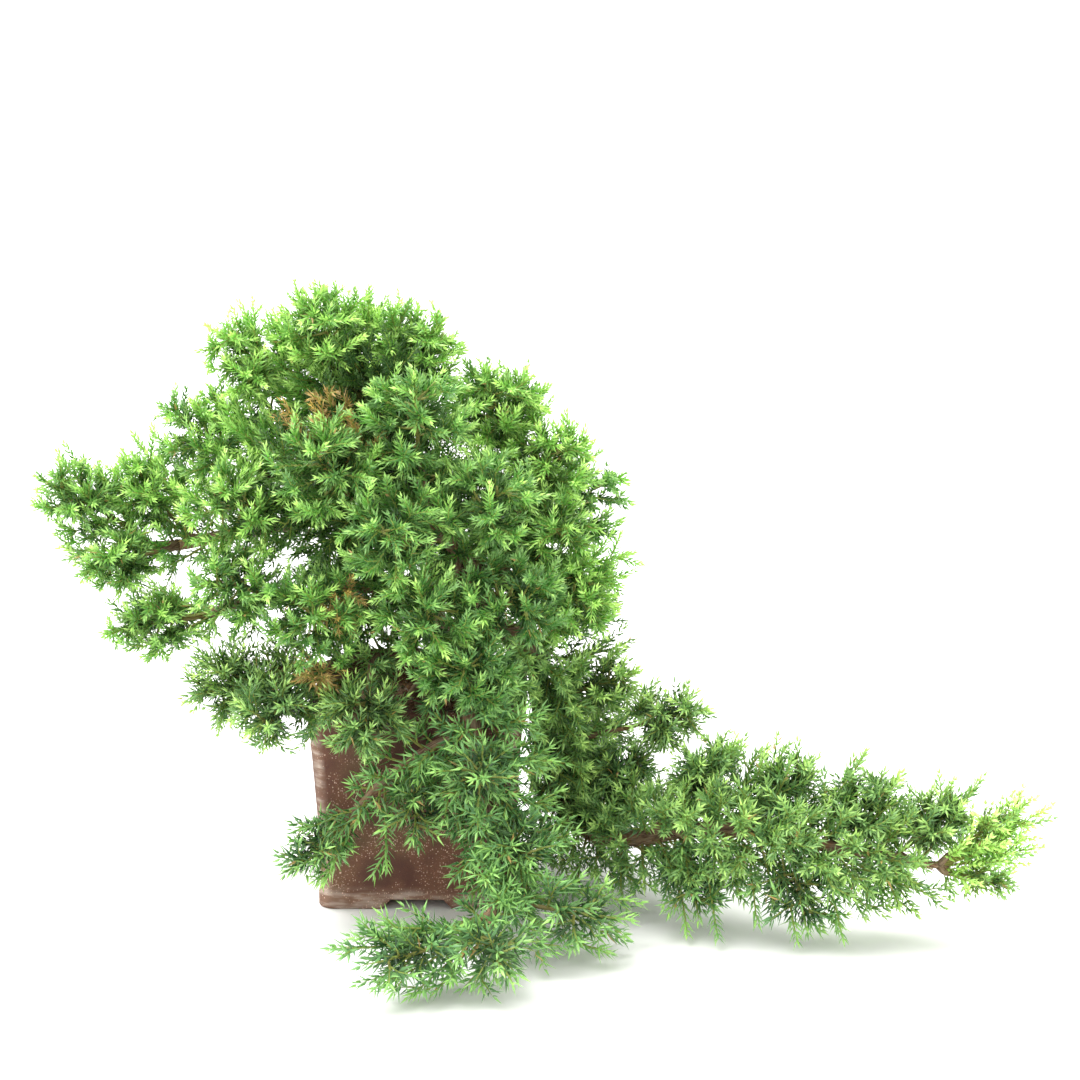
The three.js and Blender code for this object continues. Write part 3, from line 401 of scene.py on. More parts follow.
def bundle(points, faces, material=0, inner_face=0.0, on_limb=None, **values):
    """Points and triangles with the numbers they carry. A single number is used for all."""
    points = np.asarray(points, float).reshape(-1, 3)
    faces = np.asarray(faces, int).reshape(-1, 3)
    every_point = np.zeros(len(points))
    carried = {name: every_point + np.ravel(values.get(name, 0.0)) for name in POINT_VALUES}
    return {
        "points": points,
        "faces": faces,
        "material": np.full(len(faces), material),
        "inner_face": np.zeros(len(faces)) + inner_face,
        "on_limb": points if on_limb is None else on_limb,
        **carried,
    }


def stacked(parts):
    """Several bundles as one."""
    starts = np.cumsum([0] + [len(part["points"]) for part in parts[:-1]])
    whole = {name: np.concatenate([part[name] for part in parts]) for name in parts[0]}
    whole["faces"] = np.concatenate([part["faces"] + i for part, i in zip(parts, starts)])
    return whole


print("each point carries", len(POINT_VALUES), "numbers")

# %% [markdown]
# ## From a bundle to an object
# The bundle becomes a mesh in metres. Its numbers become attributes, which the materials read. The
# object then rides on the tree's one body, gets its material slot, and where it refines a measured
# piece it takes that piece's place.

# %% Make a piece
LAYER_KINDS = {
    "inner_face": ("FLOAT", "FACE", "value", 1),
    "on_limb": ("FLOAT_VECTOR", "POINT", "vector", MM),
}
triangles = {}


def in_scene(name, data):
    """A new object with this data, put in the scene."""
    made = bpy.data.objects.new(name, data)
    bpy.context.scene.collection.objects.link(made)
    return made


def new_mesh(name, points, faces):
    """A mesh in metres from points in millimetres round the pot."""
    mesh = bpy.data.meshes.new(name)
    mesh.from_pydata(metres(points).tolist(), [], faces)
    return mesh


def make_piece(name, whole, materials, node, carries, smooth=False):
    """Makes the object, lets it ride with the pot and puts it in the measured piece's place."""
    mesh = new_mesh(name, whole["points"], whole["faces"].tolist())
    for material in materials:
        mesh.materials.append(material)
    mesh.polygons.foreach_set("material_index", whole["material"].astype(np.int32))
    mesh.polygons.foreach_set("use_smooth", np.full(len(whole["faces"]), smooth))
    for value in carries:
        kind, domain, field, unit_size = LAYER_KINDS.get(value, ("FLOAT", "POINT", "value", 1))
        layer = mesh.attributes.new(value, kind, domain)
        layer.data.foreach_set(field, np.ravel(whole[value] * unit_size).astype(np.float32))
    mesh.update()
    piece = in_scene(name, mesh)
    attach(piece, "root")
    if node:
        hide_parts(node)
    triangles[name] = len(whole["faces"])
    return piece


print("pieces take the places of", len(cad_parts), "measured ones")

# %% [markdown]
# ## Directions
# Many small curves are bent at once. Each is one bend between a start and an end, steered by a
# third point, as a stem bends to the light. The helpers give the points and directions along
# such curves, and two directions square to them for whatever grows outwards.


# %% Curves and directions
def unit(vectors):
    """Vectors of length one."""
    lengths = np.linalg.norm(vectors, axis=-1, keepdims=True)
    return vectors / np.maximum(lengths, 1e-9)


def dots(a, b):
    """Dot products of two lists of vectors, kept as a column."""
    return (a * b).sum(-1, keepdims=True)


def on_curve(start, bend, end, share):
    """Points and directions at a share of the way along curves with one bend."""
    t = np.asarray(share)[..., None]
    points = (1 - t) ** 2 * start + 2 * (1 - t) * t * bend + t**2 * end
    along = unit((1 - t) * (bend - start) + t * (end - bend))
    return points, along


def square_to(along):
    """Two directions square to each of the given ones and to each other."""
    steep = np.abs(along[..., 2:3]) > 0.9
    helper = np.where(steep, np.array([1.0, 0.0, 0.0]), UP)
    first = unit(helper - dots(helper, along) * along)
    return first, np.cross(along, first)


def outward(first, second, turn):
    """The direction at a turn round an axis, from two directions square to it."""
    turn = np.asarray(turn)[..., None]
    return np.cos(turn) * first + np.sin(turn) * second


print("curves ready")

# %% [markdown]
# ## The wood's routes
# Each limb is a list of points with a radius at each, in millimetres round the pot. They are the
# same routes that the measured model follows: the trunk leans and snakes up from the soil, the long
# branch crosses the rim and falls, and the others carry the crown.

# %% Limbs
LIMBS = {
    "trunk": [(8, 6, 84, 13), (9, 6, 122, 16), (12, 5, 133, 13), (20, 5, 150, 11.5),
              (31, 5, 170, 11), (37, 5, 192, 10), (33, 4, 215, 9), (20, 3, 238, 8),
              (4, 4, 262, 7), (-14, 4, 288, 5.6), (-26, 2, 316, 4.2), (-30, 0, 340, 3)],
    "cascade": [(28, 5, 160, 9), (48, 7, 171, 8.4), (66, 8, 163, 7.6), (78, 8, 142, 7),
                (81, 7, 114, 6.6), (86, 4, 84, 6.5), (94, -2, 56, 6.4), (108, -16, 41, 6.2),
                (128, -40, 40, 5.8), (150, -66, 50, 5.4), (176, -88, 61, 5), (204, -103, 65, 4.6),
                (234, -112, 63, 4.2), (262, -118, 59, 3.8), (290, -120, 55, 3.4),
                (314, -119, 50, 2.7), (334, -117, 46, 1.8)],
    "leftArm": [(12, 3, 248, 6), (-18, -6, 252, 5.4), (-55, -12, 250, 4.8), (-92, -14, 244, 4.4),
                (-126, -11, 238, 4), (-156, -9, 231, 3.6), (-182, -9, 230, 3)],
    "leftUnder": [(34, 2, 204, 6), (4, -14, 206, 5.2), (-38, -28, 206, 4.6), (-78, -36, 202, 4),
                  (-112, -40, 198, 3.3), (-132, -40, 192, 2.8)],
    "leftSkirt": [(18, 2, 148, 6.5), (-8, -16, 158, 5.6), (-44, -32, 158, 4.8), (-76, -46, 150, 4),
                  (-94, -52, 146, 3.2)],
    "frontFall": [(20, 0, 150, 7), (28, -34, 162, 6.4), (33, -66, 153, 6), (38, -91, 128, 5.4),
                  (42, -104, 98, 5), (50, -116, 70, 4.6), (58, -134, 48, 4.2), (54, -162, 36, 3.8),
                  (44, -186, 32, 3)],
    "crownLeft": [(26, 3, 228, 6), (0, -16, 252, 5.2), (-38, -34, 270, 4.4), (-74, -38, 282, 3.4)],
    "crownFront": [(35, 3, 208, 6), (32, -26, 226, 5.4), (22, -50, 240, 4.8), (10, -62, 262, 4),
                   (4, -58, 286, 3)],
    "crownRight": [(36, 5, 198, 6.4), (56, 2, 216, 5.6), (70, 0, 240, 4.8), (72, 0, 268, 4),
                   (62, 4, 292, 3)],
    "backRight": [(36, 7, 190, 6.4), (48, 30, 208, 5.4), (54, 54, 224, 4.6), (50, 68, 250, 3.4)],
    "backLeft": [(12, 5, 250, 6), (-12, 28, 256, 5), (-38, 50, 262, 4.2), (-60, 56, 274, 3.2)],
    "backLow": [(22, 8, 156, 6.4), (14, 36, 168, 5.4), (-4, 60, 174, 4.4), (-24, 68, 178, 3.2)],
    "faceTwig": [(38, -92, 126, 3.6), (12, -92, 116, 3.2), (-16, -92, 96, 2.8),
                 (-34, -93, 78, 2.3)],
}


def limb_point(limb, share):
    """The point and the radius at a share of the way along a limb, counted in its rows."""
    rows = np.array(LIMBS[limb], float)
    place = share * (len(rows) - 1)
    i = min(int(place), len(rows) - 2)
    row = rows[i] + (rows[i + 1] - rows[i]) * (place - i)
    return row[:3], row[3]


print("limbs:", len(LIMBS))

# %% [markdown]
# ## Smooth limbs
# A limb bends without corners, so its few points are joined by a curve that passes through all of
# them. Rings are laid square to it, and each ring's directions are carried on from the one before,
# which keeps the bark from twisting where the limb bends.


# %% Routes without corners
def smooth_rows(rows, step):
    """Rows of point and radius along a curve through the given rows, about a step apart."""
    rows = np.array(rows, float)
    padded = np.vstack([2 * rows[0] - rows[1], rows, 2 * rows[-1] - rows[-2]])
    fine = []
    for i in range(1, len(padded) - 2):
        p0, p1, p2, p3 = padded[i - 1 : i + 3]
        count = max(2, round(np.linalg.norm((p2 - p1)[:3]) / step))
        t = np.arange(count)[:, None] / count
        straight = p1 + 0.5 * t * (p2 - p0)
        bent = 0.5 * t**2 * (2 * p0 - 5 * p1 + 4 * p2 - p3)
        fine.extend(straight + bent + 0.5 * t**3 * (3 * p1 - p0 - 3 * p2 + p3))
    return np.vstack([fine, rows[-1]])


def carried_frames(points):
    """The direction at each point of a route and two directions square to it that don't spin."""
    along = unit(np.gradient(points, axis=0))
    first, _ = square_to(along[0])
    firsts = []
    for way in along:
        first = unit(first - np.dot(first, way) * way)
        firsts.append(first)
    firsts = np.array(firsts)
    return along, firsts, np.cross(along, firsts)


print("points along the trunk, 2 mm apart:", len(smooth_rows(LIMBS["trunk"], 2.0)))

# %% [markdown]
# ## The sprays' places
# A spray is one leafy stem with its side twigs. Each row says which limb it grows from and how far
# along it, where its middle is, how far it reaches along its stem, sideways and in depth, and,
# where it matters, which way its stem aims. A stem without an aim points away from the limb and a
# little up, as shoots do in the light.

# %% Sprays
SPRAYS = {
    "top_spray": ("crown", [
        ("trunk", 0.9, -106, -4, 352, 38, 40, 34),
        ("trunk", 0.95, -56, -14, 368, 34, 36, 34),
        ("trunk", 0.98, -4, -8, 354, 36, 38, 36),
        ("trunk", 0.93, -38, 46, 352, 36, 40, 36),
    ]),
    "left_spray": ("crown", [
        ("crownLeft", 0.8, -136, -6, 300, 40, 38, 34),
        ("crownLeft", 0.95, -112, -54, 262, 38, 36, 36),
        ("leftUnder", 0.55, -62, -82, 198, 36, 36, 36),
        ("leftUnder", 0.8, -112, -62, 212, 32, 32, 32, (-0.7, -0.6, 0.3)),
    ]),
    "front_spray": ("crown", [
        ("crownLeft", 0.6, -50, -86, 290, 36, 38, 36),
        ("crownFront", 0.98, 4, -82, 318, 36, 40, 36),
        ("crownFront", 0.6, -8, -104, 252, 36, 38, 36),
        ("crownFront", 0.7, 46, -90, 270, 36, 38, 36),
        ("crownFront", 0.35, 14, -108, 204, 36, 38, 36),
        ("crownFront", 0.3, 62, -88, 208, 36, 38, 36),
        ("frontFall", 0.24, 34, -106, 166, 32, 36, 30),
    ]),
    "right_spray": ("crown", [
        ("crownRight", 0.98, 52, -16, 320, 34, 36, 34),
        ("crownRight", 0.7, 84, -20, 286, 32, 32, 32),
        ("crownRight", 0.5, 86, -34, 242, 34, 34, 34),
        ("crownRight", 0.2, 100, -30, 198, 34, 36, 34),
    ]),
    "skirt_spray": ("shaded", [
        ("leftSkirt", 0.98, -116, -48, 146, 36, 34, 30, (-0.8, -0.2, -0.25)),
        ("leftSkirt", 0.7, -84, -82, 138, 32, 32, 28, (-0.5, -0.7, -0.3)),
        ("leftSkirt", 0.35, -28, -98, 138, 32, 32, 24, (0, -0.75, -0.65)),
    ]),
    "arm_spray": ("crown", [
        ("leftArm", 0.98, -216, -12, 258, 38, 30, 30, (-0.85, -0.1, 0.5)),
        ("leftArm", 0.75, -172, -4, 262, 32, 30, 28, (-0.6, 0, 0.8)),
        ("leftArm", 0.85, -190, -34, 224, 30, 26, 22, (-0.8, -0.35, -0.2)),
        ("leftUnder", 0.98, -166, -38, 184, 38, 26, 24, (-0.95, 0, -0.15)),
    ]),
    "back_spray": ("behind", [
        ("backLeft", 0.98, -100, 44, 312, 38, 38, 36),
        ("backLeft", 0.8, -32, 94, 306, 38, 40, 36),
        ("backRight", 0.98, 44, 86, 302, 38, 40, 36),
        ("backLeft", 0.7, -94, 72, 246, 38, 38, 36),
        ("backLeft", 0.5, -20, 110, 240, 38, 38, 36),
        ("backRight", 0.8, 62, 98, 234, 38, 38, 36),
        ("crownRight", 0.3, 106, 46, 248, 36, 38, 36),
        ("backLow", 0.98, -62, 88, 178, 38, 38, 34),
        ("backLow", 0.5, 24, 104, 172, 38, 38, 34),
        ("backRight", 0.3, 100, 58, 184, 38, 38, 34),
    ]),
    "face_spray": ("long", [
        ("faceTwig", 0.98, -60, -98, 54, 28, 24, 20, (-0.7, -0.15, -0.6)),
        ("faceTwig", 0.5, 2, -106, 84, 28, 28, 20, (0.1, -0.4, -0.8)),
        ("frontFall", 0.55, 66, -136, 66, 26, 28, 24, (0.3, -0.8, -0.1)),
        ("frontFall", 0.4, 44, -128, 110, 26, 28, 24, (0.1, -0.8, 0.1)),
    ]),
    "low_spray": ("low", [
        ("frontFall", 0.98, 8, -222, 30, 38, 30, 20, (-0.75, -0.6, 0.02)),
        ("frontFall", 0.9, 54, -222, 32, 32, 28, 20, (0.1, -0.9, 0)),
        ("frontFall", 0.78, 100, -164, 34, 36, 30, 24, (0.9, -0.25, -0.05)),
    ]),
    "shoulder_spray": ("shaded", [
        ("cascade", 0.22, 118, -18, 138, 32, 30, 28, (0.85, -0.3, 0.35)),
        ("cascade", 0.3, 160, -46, 122, 34, 30, 26, (0.85, -0.4, 0.3)),
    ]),
    "cascade_spray": ("shaded", [
        ("cascade", 0.4, 132, -34, 82, 32, 28, 24, (0.75, -0.3, 0.6)),
        ("cascade", 0.56, 184, -78, 92, 32, 30, 24, (0.6, -0.2, 0.75)),
        ("cascade", 0.68, 232, -104, 90, 32, 28, 24, (0.65, 0, 0.7)),
        ("cascade", 0.8, 278, -114, 82, 32, 28, 24, (0.7, 0, 0.65)),
        ("cascade", 0.92, 324, -114, 72, 30, 26, 22, (0.75, 0.1, 0.6)),
    ]),
    "tip_spray": ("tip", [
        ("cascade", 0.98, 360, -121, 74, 32, 18, 18, (0.8, -0.1, 0.6)),
        ("cascade", 0.98, 354, -118, 38, 24, 15, 15, (0.9, 0.05, -0.2)),
    ]),
    "hanging_spray": ("long", [
        ("cascade", 0.58, 176, -108, 34, 26, 30, 20, (0.1, -0.5, -0.75)),
        ("cascade", 0.72, 240, -128, 34, 26, 36, 20, (0.15, -0.4, -0.8)),
    ]),
}
DRY_TWIGS = {
    "dry_twig": ("dry", [
        ("leftSkirt", 0.4, -60, -84, 160, 16, 18, 12, (-0.6, -0.75, 0.2)),
        ("crownLeft", 0.45, -50, -50, 322, 18, 18, 14, (-0.2, -0.5, 0.85)),
    ]),
}
print("sprays:", sum(len(rows) for habit, rows in SPRAYS.values()))

# %% [markdown]
# ## How each kind of needle grows
# Shoots in the sun stay short, with small needles packed close. In the shade and low down the
# shoots stretch: their needles are longer, further apart and stand out wider. These habits are
# what makes one part of the tree look different from another, so they are set side by side.

# %% Habits
# In this order: a needle's length and width and the gap between whorls in millimetres, its opening
# at the foot and at the tip of a shoot in degrees, how much shoots lift, how many a spray has, the
# shortest in millimetres, how far in the innermost ends, the side twigs added to the measured ones,
# the share of dead needles and the kind of surface.
HABIT_VALUES = ("needle", "width", "whorl_gap", "wide", "close", "lift", "shoots", "shortest")
HABIT_VALUES += ("innermost", "extra_twigs", "dead", "slot")
HABIT_ROWS = {
    "crown": (7.0, 1.65, 1.95, 60, 40, 0.16, 118, 9.0, 0.4, 8, 0.004, "crown_needles"),
    "behind": (7.4, 1.85, 2.3, 60, 40, 0.16, 90, 9.0, 0.5, 6, 0.004, "crown_needles"),
    "shaded": (8.3, 1.7, 2.6, 62, 42, 0.08, 84, 15.0, 0.45, 6, 0.005, "shaded_needles"),
    "long": (10.4, 1.85, 3.4, 64, 44, 0.0, 20, 20.0, 0.6, 3, 0.008, "long_needles"),
    "low": (11.6, 2.1, 4.2, 62, 44, 0.0, 15, 24.0, 0.75, 2, 0.01, "long_needles"),
    "tip": (6.4, 2.1, 2.6, 66, 46, 0.2, 18, 16.0, 0.5, 2, 0.004, "shaded_needles"),
    "dry": (7.4, 1.2, 2.2, 60, 36, -0.1, 16, 8.0, 0.4, 2, 0.9, "dry_needles"),
}
HABITS = {habit: dict(zip(HABIT_VALUES, row)) for habit, row in HABIT_ROWS.items()}
print("habits:", ", ".join(HABITS))

# %% [markdown]
# ## The same twigs as the measured model
# Five side twigs of each spray are in the measured model. They come from a small seeded rule, which
# is repeated here step by step, so that the fine spray grows round the same twigs. A branch of wood
# then runs from the limb to the foot of the stem.

# %% Seeds and draws
GOLDEN_ANGLE = math.radians(137.5)
SIDE_TWIGS = 5
DRY_SIDE_TWIGS = 3
STEM_SHARE = 0.85
STEM_RADIUS = 1.6
TWIG_RADIUS = 0.95
FIRST_SPRAY_SEED = 101
FIRST_DRY_SEED = 90001
SEED_STEP = 7919


def draws(seed):
    """The measured model's own seeded draws between 0 and 1."""
    state = seed
    while True:
        state = (state * 1664525 + 1013904223) % 2**32
        yield state / 2**32


first_draw = next(draws(FIRST_SPRAY_SEED))
print("the first spray's first draw:", round(first_draw, 4))

# %% [markdown]
# ## A spray on its branch
# The stem runs through the middle of the spray along its aim. The branch comes from the limb and
# bends so that it meets the stem from behind. It is never thicker than the limb it grows from.

# %% Stem and branch of each spray
BRANCH_RADII = (3.4, 2.4, STEM_RADIUS)


def place_spray(name, seed, habit, twig_count, row):
    """Where a spray's stem starts and ends, its own directions and the branch that carries it."""
    limb, share, x, y, z, along, across, deep, *aimed = row
    source, source_radius = limb_point(limb, share)
    middle = np.array([x, y, z], float)
    aim = unit(np.array(aimed[0], float)) if aimed else unit(unit(middle - source) + 0.25 * UP)
    root = middle - STEM_SHARE * along * aim
    side = unit(np.cross(aim, UP))
    behind = root - 0.4 * np.linalg.norm(source - root) * aim
    bend = 0.4 * (source + root) / 2 + 0.6 * behind
    return {
        "name": name,
        "seed": seed,
        "habit": habit,
        "twig_count": twig_count,
        "start": root,
        "middle": middle,
        "end": middle + along * aim,
        "aim": aim,
        "side": side,
        "lift": np.cross(side, aim),
        "reach": (along, across, deep),
        "branch": (source, bend, root),
        "branch_radii": np.minimum(BRANCH_RADII, source_radius),
    }


def place_sprays(table, first_seed, twig_count):
    """All sprays of a table, each with its own seed."""
    placed = []
    for kind, (habit, rows) in table.items():
        for i, row in enumerate(rows):
            seed = first_seed + SEED_STEP * len(placed)
            placed.append(place_spray(f"{kind}_{i + 1}", seed, habit, twig_count, row))
    return placed


sprays = place_sprays(SPRAYS, FIRST_SPRAY_SEED, SIDE_TWIGS)
sprays += place_sprays(DRY_TWIGS, FIRST_DRY_SEED, DRY_SIDE_TWIGS)
print("placed", len(sprays), "sprays and dry twigs")

# %% [markdown]
# ## Side twigs
# Twigs leave the stem in a spiral, the lower ones wide and the upper ones close, and each ends on
# the round form of the spray. After the measured ones, more are set between them by the same
# spiral, which fills the form evenly without rows or gaps.

# %% Side twigs of one spray
FIRST_OPENING = 100
FIRST_EXTRA_OPENING = 104


def twig_end(spray, opening, turn, reach):
    """The point on the spray's round form at an opening from its aim and a turn round it."""
    along, across, deep = spray["reach"]
    sideways = math.sin(opening) * (
        math.cos(turn) * across * spray["side"] + math.sin(turn) * deep * spray["lift"]
    )
    return spray["middle"] + reach * (math.cos(opening) * along * spray["aim"] + sideways)


def side_twigs(spray, rng):
    """(share of the stem, end) of each side twig: first the measured ones, then the extra ones."""
    draw = draws(spray["seed"])
    phase = next(draw) * 2 * math.pi
    twigs = []
    for i in range(spray["twig_count"]):
        step = i / (spray["twig_count"] - 1)
        opening = math.radians(FIRST_OPENING - 62 * step + 14 * (next(draw) - 0.5))
        turn = phase + i * GOLDEN_ANGLE + 0.5 * (next(draw) - 0.5)
        twigs.append((0.22 + 0.5 * step, twig_end(spray, opening, turn, 0.9 + 0.2 * next(draw))))
    extra = HABITS[spray["habit"]]["extra_twigs"]
    for i in range(extra):
        step = (i + 0.5) / extra
        opening = math.radians(FIRST_EXTRA_OPENING - 84 * step + rng.uniform(-6, 6))
        turn = phase + (spray["twig_count"] + i) * GOLDEN_ANGLE + rng.uniform(-0.3, 0.3)
        reach = rng.uniform(0.62, 0.86)
        twigs.append((0.15 + 0.62 * step, twig_end(spray, opening, turn, reach)))
    return twigs


print("extra twigs in a crown spray:", HABITS["crown"]["extra_twigs"])

# %% [markdown]
# ## Shoots
# The leafy shoots end all over the spray's round form and in its outer half, so their tips are
# spread there evenly, by the same spiral that a sunflower uses. A few stray a little further out,
# and each lies slightly off its place, as nothing on a tree is quite regular.

# %% Tips of the shoots
OUTERMOST_TIP = 0.98
STRAY_TIPS = 0.12
STRAY_REACH = 0.12


def tips_on_form(spray, count, rng):
    """Places of shoot tips, spread evenly over and inside the spray's round form."""
    along, across, deep = spray["reach"]
    innermost = HABITS[spray["habit"]]["innermost"]
    number = np.arange(count) + 0.5
    height = 1 - 1.8 * number / count
    turn = number * GOLDEN_ANGLE + rng.uniform(0, 2 * math.pi)
    depth = OUTERMOST_TIP - (OUTERMOST_TIP - innermost) * rng.random(count) ** 1.5
    depth[rng.random(count) < STRAY_TIPS] += STRAY_REACH
    width = np.sqrt(1 - height**2)
    across, deep = width * np.cos(turn) * across, width * np.sin(turn) * deep
    places = np.column_stack([height * along, across, deep])
    directions = np.array([spray["aim"], spray["side"], spray["lift"]])
    return spray["middle"] + (depth[:, None] * places) @ directions + rng.normal(0, 1.5, (count, 3))


print("one tip in", round(1 / STRAY_TIPS), "strays out of the form")

# %% [markdown]
# ## From a twig to each tip
# A shoot grows from the nearest place on the stem or a twig that already heads its way. A place is
# dear when it is far, when the twig there heads elsewhere, and when the shoot would be too short
# for its habit. The cheapest place wins. The shoot leaves along the twig and bends out to its tip.

# %% Shoots to the tips
POT_CLEARANCE = 1.0
LEAST_HEIGHT = 1.5
# The share of a shoot without needles, its radii at the foot and the tip, and its rank: a main stem
# is 0, a twig 1 and a shoot 2.
SHOOT = (0.08, (0.6, 0.35), 2)


def curve(start, bend, end, bare, radii, rank):
    """One stem, twig or shoot, with the share of it that has no needles."""
    return {"start": start, "bend": bend, "end": end, "bare": bare, "radii": radii, "rank": rank}


def shoots_to_tips(tips, parents, habit):
    """A shoot to each tip, from the nearest place on the parents that heads its way."""
    shares = np.linspace(0.25, 0.97, 8)
    feet, ways = zip(*(on_curve(one["start"], one["bend"], one["end"], shares) for one in parents))
    feet, ways = np.concatenate(feet), np.concatenate(ways)
    span = tips[:, None] - feet[None]
    distance = np.linalg.norm(span, axis=-1)
    agree = (span * ways[None]).sum(-1) / np.maximum(distance, 1e-6)
    wanted = HABITS[habit]["shortest"]
    cost = np.maximum(distance, wanted) * (1.9 - agree) + 1.5 * np.maximum(wanted - distance, 0)
    nearest = cost.argmin(1)
    shoots = []
    for tip, foot, way in zip(tips, feet[nearest], ways[nearest]):
        reach = max(np.linalg.norm(tip - foot), 0.8 * wanted)
        out = unit(tip - foot)
        bend = foot + 0.45 * reach * unit(0.7 * way + 0.6 * out)
        end = foot + reach * out + HABITS[habit]["lift"] * reach * UP
        shoots.append(curve(foot, bend, end, *SHOOT))
    return shoots


print("a crown's shoot should reach", HABITS["crown"]["shortest"], "mm or more")

# %% [markdown]
# ## Side shoots
# Branches, sprigs and leaders carry side shoots all round, turned from one to the next by the
# golden angle, as leaves are, so that none shades the one below. The outer ones lean out less.

# %% Side shoots of one twig
SHOOT_LEANS = (40, 62)
OUTER_LEANS_LESS = 12
SHOOT_LENGTHS = (0.8, 1.2)


def side_shoots(parent, habit, count, first, last, lengths, rng):
    """Shoots that lean out of one parent all round, spread along it in a spiral."""
    shoots = []
    phase = rng.uniform(0, 2 * math.pi)
    for i in range(count):
        step = (i + rng.uniform(0.2, 0.8)) / count
        share = first + (last - first) * step
        foot, along = on_curve(parent["start"], parent["bend"], parent["end"], share)
        one, two = square_to(along)
        lean = math.radians(rng.uniform(*SHOOT_LEANS) - OUTER_LEANS_LESS * step)
        turn = phase + i * GOLDEN_ANGLE + rng.uniform(-0.3, 0.3)
        way = math.cos(lean) * along + math.sin(lean) * outward(one, two, turn)
        length = lengths[0] + (lengths[1] - lengths[0]) * step
        length = length * rng.uniform(*SHOOT_LENGTHS)
        end = foot + length * way + HABITS[habit]["lift"] * length * UP + 0.12 * length * along
        shoots.append(curve(foot, foot + 0.5 * length * way, end, *SHOOT))
    return shoots


print("a turn between neighbours of", round(math.degrees(GOLDEN_ANGLE), 1), "degrees")

# %% [markdown]
# ## A whole spray
# Nothing grows through the pot's wall or below the bench, so such shoots are left out, as on the
# real tree. A spray is then its stem, its side twigs, the shoots at its tips and those on the short
# branch that carries it. Stems in the sun bow up, and the low and dry ones hang.

# %% Stem, twigs and shoots of one spray
BRANCH_SHOOTS = 7
HANGING_HABITS = ("long", "low", "dry")
STEM = (0.3, (STEM_RADIUS, 0.5), 0)
SIDE_TWIG = (0.3, (TWIG_RADIUS, 0.4), 1)
BARE_BRANCH = (1.0, (1, 1), 1)


def in_pot(points, margin=POT_CLEARANCE):
    """Whether points lie in or over the pot's walls and soil, below its rim."""
    over = np.abs(points[..., :2]).max(-1) < RIM_HALF + margin
    return over & (points[..., 2] < POT_HEIGHT + margin)


def in_the_open(curves):
    """The curves that run clear of the pot and the bench. A main stem always stays."""
    kept = []
    for one in curves:
        points = on_curve(one["start"], one["bend"], one["end"], np.array([0.3, 0.6, 1.0]))[0]
        if one["rank"] == 0 or not (in_pot(points).any() or points[:, 2].min() < LEAST_HEIGHT):
            kept.append(one)
    return kept


def spray_curves(spray, rng):
    """The stem of a spray, its side twigs and their shoots, and the shoots on its branch."""
    along = spray["reach"][0]
    habit = spray["habit"]
    bow = 0.04 * along * (-UP if habit in HANGING_HABITS else UP)
    middle = (spray["start"] + spray["end"]) / 2 + bow
    stem = curve(spray["start"], middle, spray["end"], *STEM)
    twigs = []
    for share, end in side_twigs(spray, rng):
        foot, _ = on_curve(stem["start"], stem["bend"], stem["end"], share)
        span = end - foot
        bend = foot + 0.5 * span - 0.1 * np.linalg.norm(span) * spray["aim"]
        twigs.append(curve(foot, bend, end, *SIDE_TWIG))
    tips = tips_on_form(spray, HABITS[habit]["shoots"], rng)
    shoots = shoots_to_tips(tips, [stem, *twigs], habit)
    source, through, root = spray["branch"]
    branch = curve(source, 2 * through - (source + root) / 2, root, *BARE_BRANCH)
    if habit != "dry":
        shoots += side_shoots(branch, habit, BRANCH_SHOOTS, 0.3, 0.95, (22, 18), rng)
    return in_the_open([stem, *twigs, *shoots])


print("shoots in a crown spray:", HABITS["crown"]["shoots"] + BRANCH_SHOOTS)

# %% [markdown]
# ## Needles in whorls of three
# Procumbens juniper sets its needles in threes, and each three is turned by half a step from the
# one below. The turn is never quite exact.

# %% Places of the needles
TURN_SPREAD = 0.12


def gathered(curves, *names):
    """The same values of all the curves, each as one array."""
    return [np.array([one[name] for one in curves]) for name in names]


def whorls_on(curves, gap, rng):
    """For each needle: its curve, its share of the way along it and its turn round it."""
    start, end, bare = gathered(curves, "start", "end", "bare")
    length = np.linalg.norm(end - start, axis=1)
    whorls = np.maximum(2, (length * (1 - bare) / gap).astype(int))
    of_curve = np.repeat(np.arange(len(curves)), whorls)
    number = np.arange(len(of_curve)) - np.repeat(np.cumsum(whorls) - whorls, whorls)
    share = bare[of_curve] + (1 - bare[of_curve]) * (number + 0.7) / whorls[of_curve]
    phase = rng.uniform(0, 2 * math.pi, len(curves))[of_curve] + number * math.pi / 3
    of_curve, share, phase = (np.repeat(values, 3) for values in (of_curve, share, phase))
    thirds = np.tile(np.arange(3) * 2 * math.pi / 3, len(share) // 3)
    return of_curve, share, phase + thirds + rng.normal(0, TURN_SPREAD, len(share))


print("whorls on 20 mm of a crown's shoot:", round(20 / HABITS["crown"]["whorl_gap"]))

# %% [markdown]
# ## The form of a needle
# A needle stands out wide at the foot of a shoot and closes in towards its tip, where the young
# ones are also shorter, which gives each tip its small green star. It is the simplest closed awl: a
# point in the stem, a wide waist and a sharp tip that bends to the stem, so that it has two faces
# outside and two inside.

# %% Points of the needles
WAIST = 0.3
NEEDLE_FACES = np.array([[0, 1, 2], [3, 2, 1], [0, 3, 1], [0, 2, 3]])
NEEDLE_POINTS = 4
INNER_FACES = np.array([0, 0, 1, 1])
CLOSES_FROM = 0.35
CLOSES_LATE = 1.6
OPENING_SPREAD = 6
CURL = (10, 30)
SIZES = (0.82, 1.12)
YOUNG_SHORTER = 0.32
YOUNG_THINNER = 0.1


